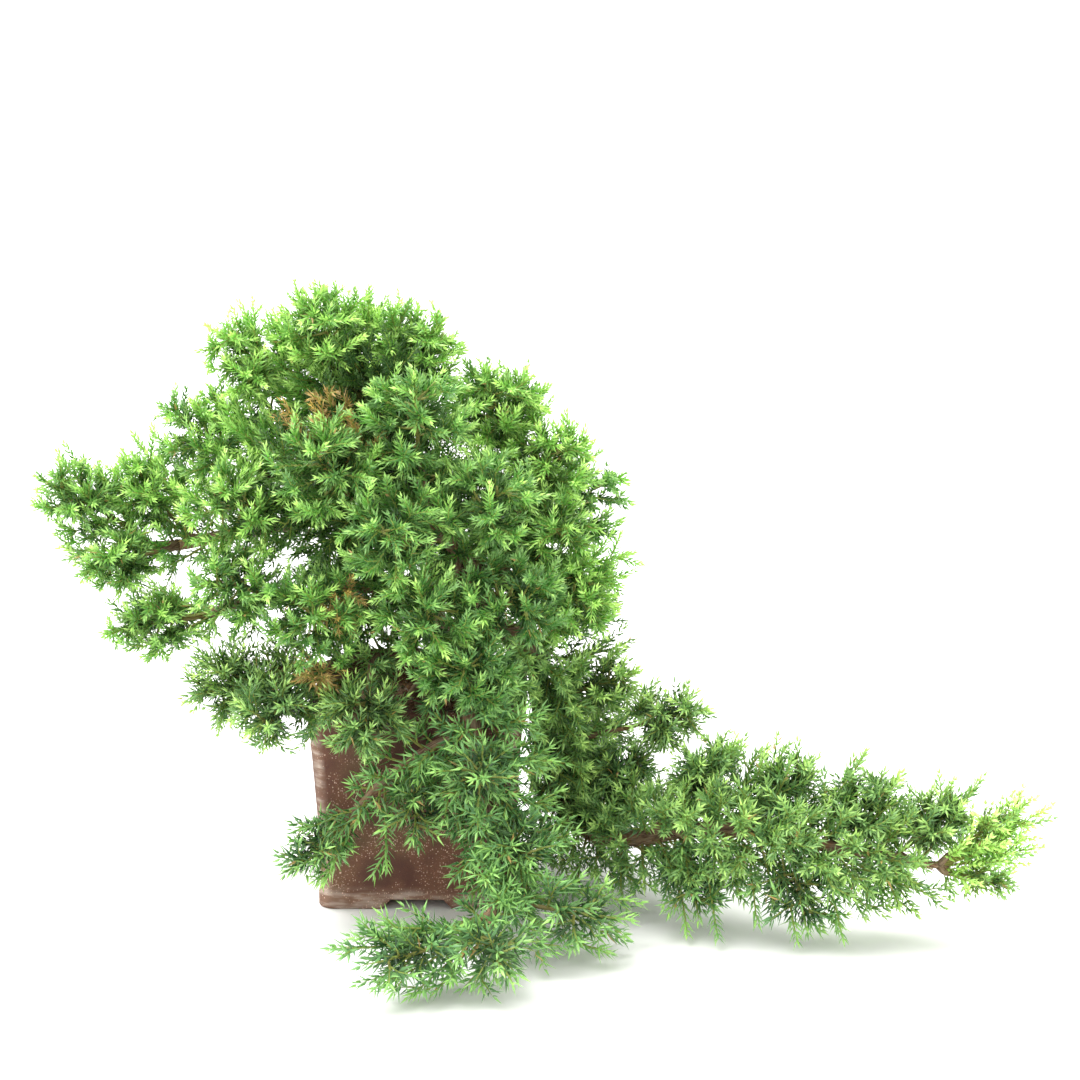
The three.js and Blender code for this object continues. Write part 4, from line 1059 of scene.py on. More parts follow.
def needle_points(foot, along, turn, share, habit, rng):
    """The four points of each needle, and the middle of its waist."""
    count = len(share)
    out = outward(*square_to(along), turn)
    closing = np.clip((share - CLOSES_FROM) / (1 - CLOSES_FROM), 0, 1) ** CLOSES_LATE
    opening = habit["wide"] + (habit["close"] - habit["wide"]) * closing
    opening = np.radians(opening + rng.normal(0, OPENING_SPREAD, count))
    curl = np.radians(rng.uniform(*CURL, count))
    size = habit["needle"] * (1 - YOUNG_SHORTER * closing**2) * rng.uniform(*SIZES, count)
    first = np.cos(opening)[:, None] * along + np.sin(opening)[:, None] * out
    last = np.cos(opening - curl)[:, None] * along + np.sin(opening - curl)[:, None] * out
    flat = unit(np.cross(along, out) + rng.normal(0, 0.25, (count, 3)))
    flat = unit(flat - dots(flat, first) * first)
    waist = foot + (WAIST * size)[:, None] * first
    tip = waist + ((1 - WAIST) * size)[:, None] * last
    half = (habit["width"] / 2) * (1 - YOUNG_THINNER * closing[:, None])
    return np.stack([foot, waist - half * flat, waist + half * flat, tip], axis=1), waist


print("a needle closes from", CLOSES_FROM, "of the way along its shoot")

# %% [markdown]
# ## Needles with their numbers
# A needle that would stand in the pot or in the bench is left out. The others get the numbers that
# their material reads. Dead ones are mostly at the foot of a shoot and never at its tip.

# %% Growing needles
NEEDLE_TONE_SPREAD = 0.13
NEVER_DEAD_FROM = 0.98


def grow_needles(curves, habit_name, tones, outer_at, rng):
    """Needles on all the curves of a spray, as one bundle. outer_at says how far out a place is, or
    gives a fixed painted light.
    """
    habit = HABITS[habit_name]
    start, bend, end, ranks = gathered(curves, "start", "bend", "end", "rank")
    of_curve, share, turn = whorls_on(curves, habit["whorl_gap"], rng)
    foot, along = on_curve(start[of_curve], bend[of_curve], end[of_curve], share)
    points, waist = needle_points(foot, along, turn, share, habit, rng)
    tip = points[:, -1]
    above = np.minimum(tip[:, 2], waist[:, 2]) > LEAST_HEIGHT
    keep = ~in_pot(tip) & ~in_pot(waist) & above
    points, share, of_curve = points[keep], share[keep], of_curve[keep]
    count = len(points)
    faces = NEEDLE_FACES + NEEDLE_POINTS * np.arange(count)[:, None, None]
    likely = habit["dead"] * (2.2 - 1.8 * share)
    dead = (rng.random(count) < likely) & (share < NEVER_DEAD_FROM)
    tone = np.clip(tones[of_curve] + rng.normal(0, NEEDLE_TONE_SPREAD, count), 0, 1)
    up_shoot = np.where(ranks[of_curve] == 0, share, share * 0.95)
    return bundle(
        points,
        faces,
        inner_face=np.tile(INNER_FACES, count),
        up_shoot=np.repeat(up_shoot, NEEDLE_POINTS),
        up_needle=np.tile([0.0, WAIST, WAIST, 1.0], count),
        outer=np.repeat(np.zeros(count) + outer_at(points[:, 0]), NEEDLE_POINTS),
        tone=np.repeat(tone, NEEDLE_POINTS),
        dead=np.repeat(dead * 1.0, NEEDLE_POINTS),
    )


print("triangles in a needle:", len(NEEDLE_FACES))

# %% [markdown]
# ## Stems
# All stems, twigs and shoots of a spray are slim tubes that taper to a point. They are made in one
# go: rings of points at the same shares of every curve, joined ring to ring, closed at the foot
# and drawn to the tip. A main stem is woody at its foot, a twig less so and a shoot hardly.

# %% Tubes along many curves
WOODY_FOOT = (0.9, 0.6, 0.15)


def tube_faces(rings, sides):
    """Triangles of one closed tube whose points are its rings, foot first, and then its tip."""
    faces = []
    for ring in range(rings - 1):
        for k in range(sides):
            a, b = ring * sides + k, ring * sides + (k + 1) % sides
            faces += [(a, b, b + sides), (a, b + sides, a + sides)]
    top = (rings - 1) * sides
    faces += [(top + k, top + (k + 1) % sides, rings * sides) for k in range(sides)]
    faces += [(0, k + 1, k) for k in range(1, sides - 1)]
    return np.array(faces)


def grow_stems(curves, rings, sides):
    """Tapered tubes along all the given curves, as one bundle."""
    shares = np.linspace(0, 1, rings + 1)
    start, bend, end, radii, ranks = gathered(curves, "start", "bend", "end", "radii", "rank")
    route = (start[:, None], bend[:, None], end[:, None])
    centres, along = on_curve(*route, np.broadcast_to(shares, (len(curves), rings + 1)))
    first, second = square_to(along[:, :-1])
    radius = radii[:, :1] + (radii[:, 1:] - radii[:, :1]) * shares
    turns = np.arange(sides) * 2 * math.pi / sides
    spokes = np.stack([outward(first, second, turn) for turn in turns], axis=2)
    tubes = centres[:, :-1, None] + radius[:, :-1, None, None] * spokes
    tubes = tubes.reshape(len(curves), rings * sides, 3)
    points = np.concatenate([tubes, centres[:, -1:]], axis=1)
    faces = tube_faces(rings, sides) + points.shape[1] * np.arange(len(curves))[:, None, None]
    oldest = np.array(WOODY_FOOT)[ranks][:, None]
    per_ring = np.repeat(oldest * (1 - shares[:-1]), sides, axis=1)
    woody = np.concatenate([per_ring, np.zeros((len(curves), 1))], axis=1)
    return bundle(points, faces, material=1, woody=woody.ravel())


print("triangles in the thinnest stem:", len(tube_faces(2, 3)))

# %% [markdown]
# ## Sprigs on the limbs
# Between the sprays the limbs themselves carry sprigs, which close the crown and hide the long
# branch nearly to its tip. A sprig leans forward along its limb and turns to the light, or hangs
# where it grows below. Each row says which stretch of a limb bears them, how many, how long they
# are, how they grow, and how much painted light their needles get: the lower the number, the
# darker the painted shade on them.

# %% Sprigs from a limb
SPRIGS = [
    ("trunk", 0.5, 0.98, 30, 44, "crown", 0.15),
    ("trunk", 0.78, 0.98, 16, 72, "crown", 0.2),
    ("crownLeft", 0.15, 0.98, 34, 42, "crown", 0.15),
    ("crownLeft", 0.5, 0.98, 18, 66, "crown", 0.1),
    ("crownFront", 0.15, 0.98, 28, 38, "crown", 0.45),
    ("crownRight", 0.1, 0.98, 20, 34, "crown", 0.4),
    ("backRight", 0.2, 0.98, 12, 36, "behind", 0.4),
    ("backLeft", 0.2, 0.98, 18, 40, "behind", 0.4),
    ("backLow", 0.3, 0.98, 8, 32, "behind", 0.4),
    ("leftArm", 0.1, 0.5, 22, 38, "crown", 0.5),
    ("leftArm", 0.5, 0.98, 16, 24, "crown", 0.5),
    ("leftUnder", 0.05, 0.48, 26, 40, "crown", 0.4),
    ("leftUnder", 0.6, 0.98, 8, 24, "shaded", 0.5),
    ("leftSkirt", 0.2, 0.98, 32, 34, "shaded", 0.5),
    ("cascade", 0.04, 0.3, 39, 60, "shaded", 0.6),
    ("cascade", 0.2, 0.42, 30, 44, "shaded", 0.6),
    ("cascade", 0.4, 0.92, 92, 48, "shaded", 0.75),
    ("frontFall", 0.15, 0.7, 26, 40, "long", 0.7),
    ("frontFall", 0.5, 0.98, 12, 32, "long", 0.8),
    ("faceTwig", 0.1, 0.98, 16, 24, "long", 0.8),
]
SPRIG = (0.25, (1.0, 0.4), 1)
SPRIG_LEANS = (42, 68)
SPRIG_LENGTHS = (0.7, 1.15)
SHOOT_EVERY_MM = 6.2


def sprig_curves(limb, first_share, last_share, count, length, habit, rng):
    """The sprigs on a stretch of one limb, each with its shoots."""
    route = smooth_rows(LIMBS[limb], 2.2)
    along, first, second = carried_frames(route[:, :3])
    curves = []
    for i in range(count):
        share = first_share + (last_share - first_share) * (i + rng.uniform(0.2, 0.8)) / count
        ring = int(share * (len(route) - 1))
        out = outward(first[ring], second[ring], i * GOLDEN_ANGLE + rng.uniform(-0.4, 0.4))
        lean = math.radians(rng.uniform(*SPRIG_LEANS))
        way = math.cos(lean) * along[ring] + math.sin(lean) * out
        reach = length * rng.uniform(*SPRIG_LENGTHS) * (1 - 0.35 * share)
        foot = route[ring, :3] + 0.5 * route[ring, 3] * out
        end = foot + reach * way + (0.25 if way[2] > -0.2 else -0.15) * reach * UP
        twig = curve(foot, foot + 0.55 * reach * way, end, *SPRIG)
        lengths = (0.55 * reach, 0.34 * reach)
        shoots = round(reach / SHOOT_EVERY_MM)
        curves += [twig, *side_shoots(twig, habit, shoots, 0.22, 0.92, lengths, rng)]
    return in_the_open(curves)


print("sprigs:", sum(row[3] for row in SPRIGS))

# %% [markdown]
# ## Leaders
# A few strong shoots outgrow the rest and break the outline: up in the light over each limb, and
# hanging below the long branch like ferns. Under each limb's name, a row says how far along it a
# leader grows, where its tip is, and how many side shoots it has.

# %% Leaders beyond the sprays
LEADERS = {
    "crown": [
        ("trunk", [
            (0.95, 25, -6, 370, 8), (0.95, 8, -8, 383, 8), (0.98, -4, -8, 393, 9),
            (0.98, -31, -12, 399, 8), (0.98, -59, -14, 401, 8), (0.95, -84, -14, 398, 9),
            (0.93, -99, -10, 383, 10), (0.9, -130, -6, 378, 9), (0.88, -137, -6, 360, 8),
        ]),
        ("crownLeft", [
            (0.8, -151, -6, 327, 9), (0.8, -139, -6, 338, 9), (0.8, -147, -14, 303, 9),
            (0.9, -128, -30, 322, 9),
        ]),
        ("crownRight", [
            (0.95, 64, -14, 349, 8), (0.95, 80, -14, 340, 8), (0.9, 33, -10, 354, 8),
            (0.6, 118, -16, 303, 6), (0.6, 106, -12, 314, 6), (0.25, 145, -32, 230, 10),
            (0.25, 139, -36, 214, 8), (0.15, 132, -30, 200, 8),
        ]),
        ("leftArm", [
            (0.6, -160, -6, 304, 7), (0.75, -186, -6, 306, 8), (0.8, -198, -8, 292, 7),
            (0.98, -211, -10, 286, 6), (0.98, -236, -12, 292, 7), (0.98, -243, -14, 275, 6),
            (0.65, -172, -20, 282, 7),
        ]),
        ("crownFront", [(0.98, 40, -50, 285, 9)]),
        ("crownRight", [(0.95, 36, -44, 297, 8)]),
        ("trunk", [(0.93, -103, -12, 372, 10), (0.9, -96, -14, 354, 8), (0.93, -112, -20, 366, 8)]),
    ],
    "shaded": [
        ("leftArm", [
            (0.98, -237, -22, 231, 4), (0.9, -226, -26, 220, 3), (0.85, -206, -28, 212, 3),
            (0.7, -176, -28, 214, 3),
        ]),
        ("leftUnder", [
            (0.98, -200, -40, 191, 6), (0.9, -184, -38, 206, 4), (0.95, -190, -44, 166, 4),
        ]),
        ("leftSkirt", [
            (0.98, -146, -50, 166, 6), (0.98, -125, -46, 174, 5), (0.98, -132, -56, 144, 5),
            (0.9, -127, -60, 132, 5), (0.8, -110, -66, 118, 5),
        ]),
        ("cascade", [
            (0.56, 195, -85, 118, 5), (0.58, 212, -92, 126, 3), (0.64, 238, -104, 124, 5),
            (0.7, 253, -108, 108, 4), (0.76, 283, -112, 119, 4), (0.82, 305, -116, 110, 4),
            (0.9, 338, -118, 106, 3), (0.94, 352, -120, 106, 2), (0.8, 336, -122, 26, 6),
            (0.74, 298, -124, 14, 4), (0.68, 268, -126, 9, 4), (0.08, 96, -52, 176, 6),
            (0.12, 100, -64, 150, 7), (0.16, 108, -60, 126, 7), (0.2, 110, -56, 104, 7),
            (0.25, 112, -60, 84, 6), (0.06, 76, -76, 168, 6), (0.1, 68, -86, 148, 9),
            (0.14, 68, -90, 128, 9), (0.18, 68, -94, 110, 9), (0.22, 74, -90, 94, 6),
            (0.62, 170, -130, 86, 7), (0.65, 184, -140, 70, 7), (0.68, 206, -142, 88, 7),
            (0.72, 226, -148, 68, 7), (0.79, 252, -150, 56, 7), (0.84, 270, -148, 72, 7),
            (0.88, 290, -146, 48, 7), (0.93, 312, -142, 60, 6),
        ]),
    ],
    "long": [
        ("cascade", [
            (0.74, 238, -146, 4, 0), (0.64, 190, -140, 4, 0), (0.7, 214, -138, 12, 0),
            (0.6, 172, -132, 3, 0), (0.8, 266, -146, 6, 1),
        ]),
        ("frontFall", [
            (0.35, 84, -104, 140, 6), (0.42, 92, -112, 112, 6), (0.5, 94, -118, 84, 6),
            (0.6, 104, -120, 64, 5), (0.28, 66, -100, 160, 6), (0.32, 50, -116, 146, 5),
            (0.34, 72, -108, 136, 6), (0.4, 76, -114, 106, 6), (0.36, 30, -122, 132, 5),
            (0.3, 56, -112, 174, 5), (0.62, 62, -160, 66, 6), (0.68, 46, -172, 54, 6),
            (0.66, 76, -158, 52, 6), (0.72, 64, -176, 40, 6), (0.8, 58, -190, 48, 5),
            (0.64, 84, -150, 30, 5),
        ]),
        ("faceTwig", [
            (0.98, -80, -98, 62, 3), (0.98, -78, -100, 34, 3), (0.98, -58, -104, 28, 2),
            (0.7, -16, -110, 38, 1),
        ]),
        ("frontFall", [
            (0.95, -42, -244, 40, 5), (0.9, -32, -234, 43, 3), (0.95, -18, -224, 47, 3),
            (0.98, -28, -240, 16, 3), (0.98, -10, -240, 18, 3), (0.98, 2, -236, 6, 3),
            (0.98, 19, -234, 8, 3), (0.95, 46, -230, 8, 3), (0.9, 66, -218, 12, 3),
            (0.85, 92, -188, 14, 3), (0.85, 127, -166, 6, 3), (0.75, 136, -150, 8, 3),
            (0.7, 146, -136, 28, 3), (0.9, 14, -208, 36, 2),
        ]),
    ],
    "dry": [
        ("crownLeft", [
            (0.5, -64, -70, 332, 5), (0.45, -40, -78, 328, 5), (0.6, -84, -60, 334, 5),
            (0.55, -76, -66, 318, 4),
        ]),
        ("leftUnder", [(0.5, -44, -106, 200, 5), (0.45, -38, -98, 216, 4)]),
    ],
    "tip": [
        ("cascade", [
            (0.98, 395, -122, 88, 7), (0.98, 372, -124, 83, 8), (0.98, 389, -121, 62, 9),
            (0.98, 378, -118, 36, 7), (0.96, 364, -116, 62, 9), (0.98, 376, -126, 72, 9),
        ]),
    ],
}
TIP_ROOM = 4.0
LEADER = (0.3, (1.0, 0.4), 1)


def leader_curves(groups, habit, rng):
    """Leaders from their limbs to their tips, with their side shoots."""
    curves = []
    for limb, share, x, y, z, count in ((limb, *row) for limb, rows in groups for row in rows):
        source, _ = limb_point(limb, share)
        span = np.array([x, y, z], float) - source
        length = np.linalg.norm(span) - TIP_ROOM
        way = unit(span)
        bend = source + 0.5 * length * way - 0.1 * length * UP
        leader = curve(source, bend, source + length * way, *LEADER)
        lengths = (min(26, 0.42 * length), min(14, 0.24 * length))
        curves += [leader, *side_shoots(leader, habit, count, 0.35, 0.9, lengths, rng)]
    return in_the_open(curves)


print("leaders:", sum(len(rows) for groups in LEADERS.values() for _, rows in groups))

# %% [markdown]
# ## All the foliage
# Each spray gets its own seed, so that it comes out the same each time, and each shoot its own
# tone, because neighbours never have quite the same green. One mesh holds the whole spray, in the
# place of the measured one. The sprigs of a limb are one mesh too.

# %% Foliage as objects
LEAF_VALUES = ("up_shoot", "up_needle", "outer", "tone", "dead", "woody", "inner_face")
MIDDLE_TONE = 0.5
SPRAY_TONE_SPREAD = 0.09
SHOOT_TONE_SPREAD = 0.16
THICK_TUBE = (5, 4)
THIN_TUBE = (2, 3)


def outer_in(spray):
    """How far out a place is in a spray's round form: 0 in its heart and 1 at its surface."""
    directions = np.array([spray["aim"], spray["side"], spray["lift"]])

    def outer_at(points):
        away = (points - spray["middle"]) @ directions.T / np.array(spray["reach"])
        return np.clip((np.linalg.norm(away, axis=1) - 0.3) / 0.65, 0, 1)

    return outer_at


def leafy_bundle(curves, habit, outer_at, rng, tone):
    """Needles and stems on all the curves, about as light as the tone."""
    whole_tone = rng.normal(tone, SPRAY_TONE_SPREAD)
    tones = np.clip(whole_tone + rng.normal(0, SHOOT_TONE_SPREAD, len(curves)), 0, 1)
    thick = [one for one in curves if one["rank"] < 2]
    thin = [one for one in curves if one["rank"] == 2]
    parts = [grow_needles(curves, habit, tones, outer_at, rng), grow_stems(thick, *THICK_TUBE)]
    if thin:
        parts.append(grow_stems(thin, *THIN_TUBE))
    return stacked(parts)


def make_foliage(name, curves, habit, outer_at, rng, tone=MIDDLE_TONE, node=None):
    """One object of needles and stems, in a measured spray's place if it refines one."""
    whole = leafy_bundle(curves, habit, outer_at, rng, tone)
    materials = [NEEDLES[habit], SHOOT_STEMS]
    make_piece(name, whole, materials, node, LEAF_VALUES)


print("needles carry", len(LEAF_VALUES), "numbers")

# %% [markdown]
# ## Sprays, sprigs and leaders
# The sprays come first, each in the place of the measured one. Some get a tone of their own,
# which paints light on the top and right ones and shade on the front ones. Then follow the sprigs
# of each limb and the leaders of each habit.

# %% Grow the foliage
# Painted light and shade on whole sprays: a tone above the middle is lighter, one below it darker.
SPRAY_PAINTED_LIGHT = {
    "top_spray": 0.95,
    "left_spray": 0.66,
    "front_spray": 0.38,
    "right_spray": 0.85,
    "arm_spray": 0.6,
    "shoulder_spray": 0.64,
    "tip_spray": 0.65,
}
# Leaders are painted a little lighter: a tone above the middle, and a fixed painted light.
LEADER_TONE = 0.62
LEADER_PAINTED_LIGHT = 0.85
SPRIG_SEED = 500
LEADER_SEED = 700

for spray in sprays:
    rng = np.random.default_rng(spray["seed"])
    curves = spray_curves(spray, rng)
    name = spray["name"]
    tone = SPRAY_PAINTED_LIGHT.get(name.rsplit("_", 1)[0], MIDDLE_TONE)
    make_foliage("fine_" + name, curves, spray["habit"], outer_in(spray), rng, tone, name)
print("triangles in the sprays:", sum(triangles.values()))
# A sprig's needles all get its row's painted light.
for number, (limb, first, last, count, length, habit, outer) in enumerate(SPRIGS):
    rng = np.random.default_rng(SPRIG_SEED + number)
    curves = sprig_curves(limb, first, last, count, length, habit, rng)
    make_foliage(f"sprigs_{number + 1}_{limb}", curves, habit, lambda points: outer, rng)
for number, (habit, groups) in enumerate(LEADERS.items()):
    rng = np.random.default_rng(LEADER_SEED + number)
    curves = leader_curves(groups, habit, rng)
    make_foliage("leaders_" + habit, curves, habit, lambda points: LEADER_PAINTED_LIGHT, rng, LEADER_TONE)
print("triangles in all foliage:", sum(triangles.values()))

# %% [markdown]
# ## Stringy bark
# The strips of the bark are a relief on the limb: a random net of heights, stretched into long,
# narrow cells and blurred between them. Thick wood has more and deeper strips. Where a limb leaves
# its parent it flares, and the trunk widens into roots where it meets the soil.

# %% Bark relief
STRIP_WIDTH = 3.2
STRIP_LENGTH = 17.0


def strip_net(rng, rings, sides, around, along):
    """Random heights from 0 to 1 on a net of rings and sides, with long cells and soft edges."""
    knots = rng.random((along + 2, around))
    up = np.linspace(0, along, rings)
    over = np.arange(sides) * around / sides
    i, j = up.astype(int), over.astype(int)
    s = (up - i)[:, None]
    t = (over - j)[None, :]
    s, t = s * s * (3 - 2 * s), t * t * (3 - 2 * t)
    low = knots[i][:, j] * (1 - t) + knots[i][:, (j + 1) % around] * t
    high = knots[i + 1][:, j] * (1 - t) + knots[i + 1][:, (j + 1) % around] * t
    return low * (1 - s) + high * s


print("bark strips are", STRIP_WIDTH, "mm wide and", STRIP_LENGTH, "mm long")

# %% [markdown]
# ## A limb with its bark
# Rings of points stand round the limb's route, and the net of heights pushes them in and out, by a
# sixth of the radius at most and never more than 1.5 mm. The limb flares at its foot, and five
# roots spread where the trunk meets the soil. Each point also carries its place on the limb for
# the fibres of the material: round a circle, and along.

# %% Limbs in relief
DEEPEST_FURROW = 1.5
COARSE_SHARE = 0.65
FLARE_MM = 7.0
ROOTS = 5
ROOT_MM = 9


def limb_bundle(rows, step, sides, rng, flare=0.0, roots=0.0):
    """A limb with its bark in relief, closed at both ends."""
    fine = smooth_rows(rows, step)
    centres, radii = fine[:, :3], fine[:, 3]
    walked = np.concatenate([[0], np.cumsum(np.linalg.norm(np.diff(centres, axis=0), axis=1))])
    rings = len(centres)
    _, first, second = carried_frames(centres)
    around = max(4, round(2 * math.pi * radii.mean() / STRIP_WIDTH))
    cells = max(2, round(walked[-1] / STRIP_LENGTH))
    coarse = strip_net(rng, rings, sides, around, cells)
    fine_net = strip_net(rng, rings, sides, 2 * around, 2 * cells)
    height = COARSE_SHARE * coarse + (1 - COARSE_SHARE) * fine_net
    turns = np.arange(sides) * 2 * math.pi / sides
    depth = np.minimum(0.16 * radii, DEEPEST_FURROW)[:, None]
    flared = radii * (1 + flare * np.exp(-walked / FLARE_MM))
    spread = flared[:, None] + depth * (height - 0.62)
    fall = np.exp(-np.maximum(centres[:, 2] - POT_HEIGHT + 6, 0) / ROOT_MM)[:, None]
    spread = spread + roots * fall * (0.4 + 0.6 * np.cos(ROOTS * turns + 0.8)) ** 2
    out = outward(first[:, None], second[:, None], turns)
    skin = centres[:, None] + spread[..., None] * out
    tip = centres[-1:] + 0.6 * radii[-1] * unit(centres[-1:] - centres[-2:-1])
    points = np.concatenate([skin.reshape(-1, 3), tip])
    strip = np.append(height.ravel(), 0.6)
    wrapped = np.zeros((rings, sides, 3))
    wrapped[..., 0] = 4 * np.cos(turns)
    wrapped[..., 1] = 4 * np.sin(turns)
    wrapped[..., 2] = walked[:, None] / 9
    wrapped = wrapped.reshape(-1, 3)
    on_limb = np.vstack([wrapped, wrapped[-1:]])
    return bundle(points, tube_faces(rings, sides), on_limb=on_limb, strip=strip)


print("the trunk has", ROOTS, "roots")

# %% [markdown]
# ## Peeling shreds
# Old bark lets go at one end of a strip first. Nearly three hundred thin shreds stand off the thick
# wood, each one a flat ribbon that stays rooted at its lower end and lifts at the other.

# %% Shreds of bark
SHRED_STEPS = 4
SHRED_LENGTHS = (5, 13)
SHRED_HALF_WIDTHS = (0.5, 1.3)
SHRED_LIFTS = (0.5, 2.2)
SHRED_HALF_THICKNESS = 0.18
SHRED_LIMBS = {"trunk": 90, "cascade": 90, "leftArm": 28, "leftUnder": 22}
SHRED_LIMBS |= {"frontFall": 34, "leftSkirt": 22}


def shred_bundle(limb, count, rng):
    """Ribbons that peel off one limb."""
    fine = smooth_rows(LIMBS[limb], 2.0)
    along, first, second = carried_frames(fine[:, :3])
    parts = []
    for _ in range(count):
        i = rng.integers(6, len(fine) - 4)
        out = outward(first[i], second[i], rng.uniform(0, 2 * math.pi))
        centre, radius, way = fine[i, :3], fine[i, 3], along[i] * rng.choice([-1, 1])
        length = rng.uniform(*SHRED_LENGTHS)
        half = rng.uniform(*SHRED_HALF_WIDTHS)
        lift = rng.uniform(*SHRED_LIFTS)
        flat = np.cross(out, way)
        steps = np.linspace(0, 1, SHRED_STEPS)[:, None]
        spine = centre + way * length * steps + out * (0.93 * radius + lift * steps**2)
        wide = half * (1 - 0.7 * steps) * flat
        thick = SHRED_HALF_THICKNESS * out
        corners = [i * wide + j * thick for i, j in ((-1, -1), (1, -1), (1, 1), (-1, 1))]
        ring = np.stack([spine + corner for corner in corners], 1)
        points = np.vstack([ring.reshape(-1, 3), spine[-1:] + 0.8 * way])
        parts.append(bundle(points, tube_faces(SHRED_STEPS, 4), strip=rng.uniform(0.5, 1.0)))
    return stacked(parts)


print("shreds:", sum(SHRED_LIMBS.values()))

# %% [markdown]
# ## The wood as one piece
# The tree grew as one, so the trunk, the limbs, the short branches and the shreds are one mesh. The
# trunk is in full view, so it has the finest rings, about 1.6 mm apart with 44 sides. A limb has 18
# sides, and a short branch has 7.

# %% Make the wood
WOOD_SEED = 20
TRUNK_NET = (1.6, 44)
LIMB_NET = (2.4, 18)
BRANCH_NET = (3.4, 7)
ROOT_SPREAD = 5.0
LIMB_FLARE = 0.35
BRANCH_FLARE = 0.25

rng = np.random.default_rng(WOOD_SEED)
wood_parts = []
for name, rows in LIMBS.items():
    if name == "trunk":
        wood_parts.append(limb_bundle(rows, *TRUNK_NET, rng, roots=ROOT_SPREAD))
    else:
        wood_parts.append(limb_bundle(rows, *LIMB_NET, rng, flare=LIMB_FLARE))
for spray in sprays:
    rows = [(*point, radius) for point, radius in zip(spray["branch"], spray["branch_radii"])]
    wood_parts.append(limb_bundle(rows, *BRANCH_NET, rng, flare=BRANCH_FLARE))
for name, count in SHRED_LIMBS.items():
    wood_parts.append(shred_bundle(name, count, rng))
whole = stacked(wood_parts)
make_piece("fine_wood", whole, [BARK], "wood", ("on_limb", "strip"), smooth=True)
print("triangles in the wood:", triangles["fine_wood"])

# %% [markdown]
# ## The pot's skin
# The pot is a square with rounded corners at every height, so it is built as one stack of such
# outlines: from the recess under the floor, out round the foot, up the flared wall, over the rim
# and down inside. A hand-pressed wall is never quite flat, so a slow, slight waviness is added.

# %% Pot outlines
FOOT_HALF = 64.6
FOOT_HEIGHT = 12.0
FOOT_RING = 11.0
RIM_BAND = 6.0
WALL = 6.5
RIM_WALL = 8.0
FLOOR_BOTTOM = 6.5
FLOOR_TOP = 15.0
CORNER_CUT = 12.0
INNER_CORNER_CUT = 9.0
CORNER_STEPS = 8
SIDE_STEPS = 22


def square_outline(half, cut, z):
    """Points round a square with round corners, at one height."""
    side = []
    flat = np.linspace(-(half - cut), half - cut, SIDE_STEPS, endpoint=False)[1:]
    for step in range(CORNER_STEPS + 1):
        angle = step / CORNER_STEPS * math.pi / 2
        side.append((half - cut + cut * math.cos(angle), half - cut + cut * math.sin(angle)))
    side += [(-y, half) for y in flat]
    side = np.array(side)
    points = []
    for c, s in ((1, 0), (0, 1), (-1, 0), (0, -1)):
        points.append(side @ np.array([(c, s), (-s, c)]))
    flat_points = np.vstack(points)
    return np.column_stack([flat_points, np.full(len(flat_points), z)])


def wall_half(z):
    """Half the pot's width at a height, along its flared wall."""
    rise = (z - FOOT_HEIGHT) / (POT_HEIGHT - FOOT_HEIGHT)
    return FOOT_HALF - 1.2 + (RIM_HALF - FOOT_HALF - 0.2) * rise**1.5


print("the wall is", round(wall_half(POT_HEIGHT) * 2, 1), "mm wide under the rim")

# %% [markdown]
# ## The stack of outlines
# Each row is half the width, how much of the corner is rounded, and the height. The stack starts in
# the recess, rounds the foot's edges, goes up the wall and over the band, and ends on the floor.
# An edge is a few steps, each with how far it stands in and how high or how far down it lies.

# %% Stack of outlines
FOOT_EDGE = ((1.0, 0.0), (0.3, 0.4), (0, 1.2), (0, 4.0), (0, 7.0), (0, 9.4), (0.35, 10.6))
RIM_EDGE = ((0.5, RIM_BAND + 0.4), (0, RIM_BAND - 0.4), (0, 3.4), (0, 1.2), (0.4, 0.4), (1.2, 0))
INNER_EDGE = ((0.4, 0.4), (0, 1.2), (0, RIM_BAND))
INSIDE_HEIGHTS = (124.0, 80.0, FLOOR_TOP + 4)
WALL_TOP = POT_HEIGHT - RIM_BAND - 2

recess, inner_rim = FOOT_HALF - FOOT_RING, RIM_HALF - RIM_WALL
rows = [(recess, INNER_CORNER_CUT, z) for z in (FLOOR_BOTTOM, 3.0, 0.8)]
rows += [(recess + 0.6, INNER_CORNER_CUT, 0.0), (FOOT_HALF - 5, CORNER_CUT - 2, 0.0)]
rows += [(FOOT_HALF - inset, CORNER_CUT, z) for inset, z in FOOT_EDGE]
rows += [(wall_half(FOOT_HEIGHT) + 0.15, CORNER_CUT, 11.4)]
rows += [(wall_half(z), CORNER_CUT, z) for z in np.linspace(FOOT_HEIGHT, WALL_TOP, 30)]
rows += [(RIM_HALF - inset, CORNER_CUT, POT_HEIGHT - drop) for inset, drop in RIM_EDGE]
rows += [(inner_rim + 1.2, INNER_CORNER_CUT + 1, POT_HEIGHT)]
rows += [(inner_rim + over, INNER_CORNER_CUT, POT_HEIGHT - drop) for over, drop in INNER_EDGE]
rows += [(wall_half(z) - WALL, INNER_CORNER_CUT, z) for z in INSIDE_HEIGHTS]
rows += [(wall_half(FLOOR_TOP) - WALL - 3, INNER_CORNER_CUT, FLOOR_TOP)]
outlines = np.array([square_outline(*row) for row in rows])
print("pot outlines:", outlines.shape[0], "of", outlines.shape[1], "points")

# %% [markdown]
# ## Waves and skins
# Slow waves are a few sines in random directions, added up. A skin joins each outline to the next
# by two triangles a side and closes both ends by a fan.

# %% Helpers for hand-made skins
WAVES = 7


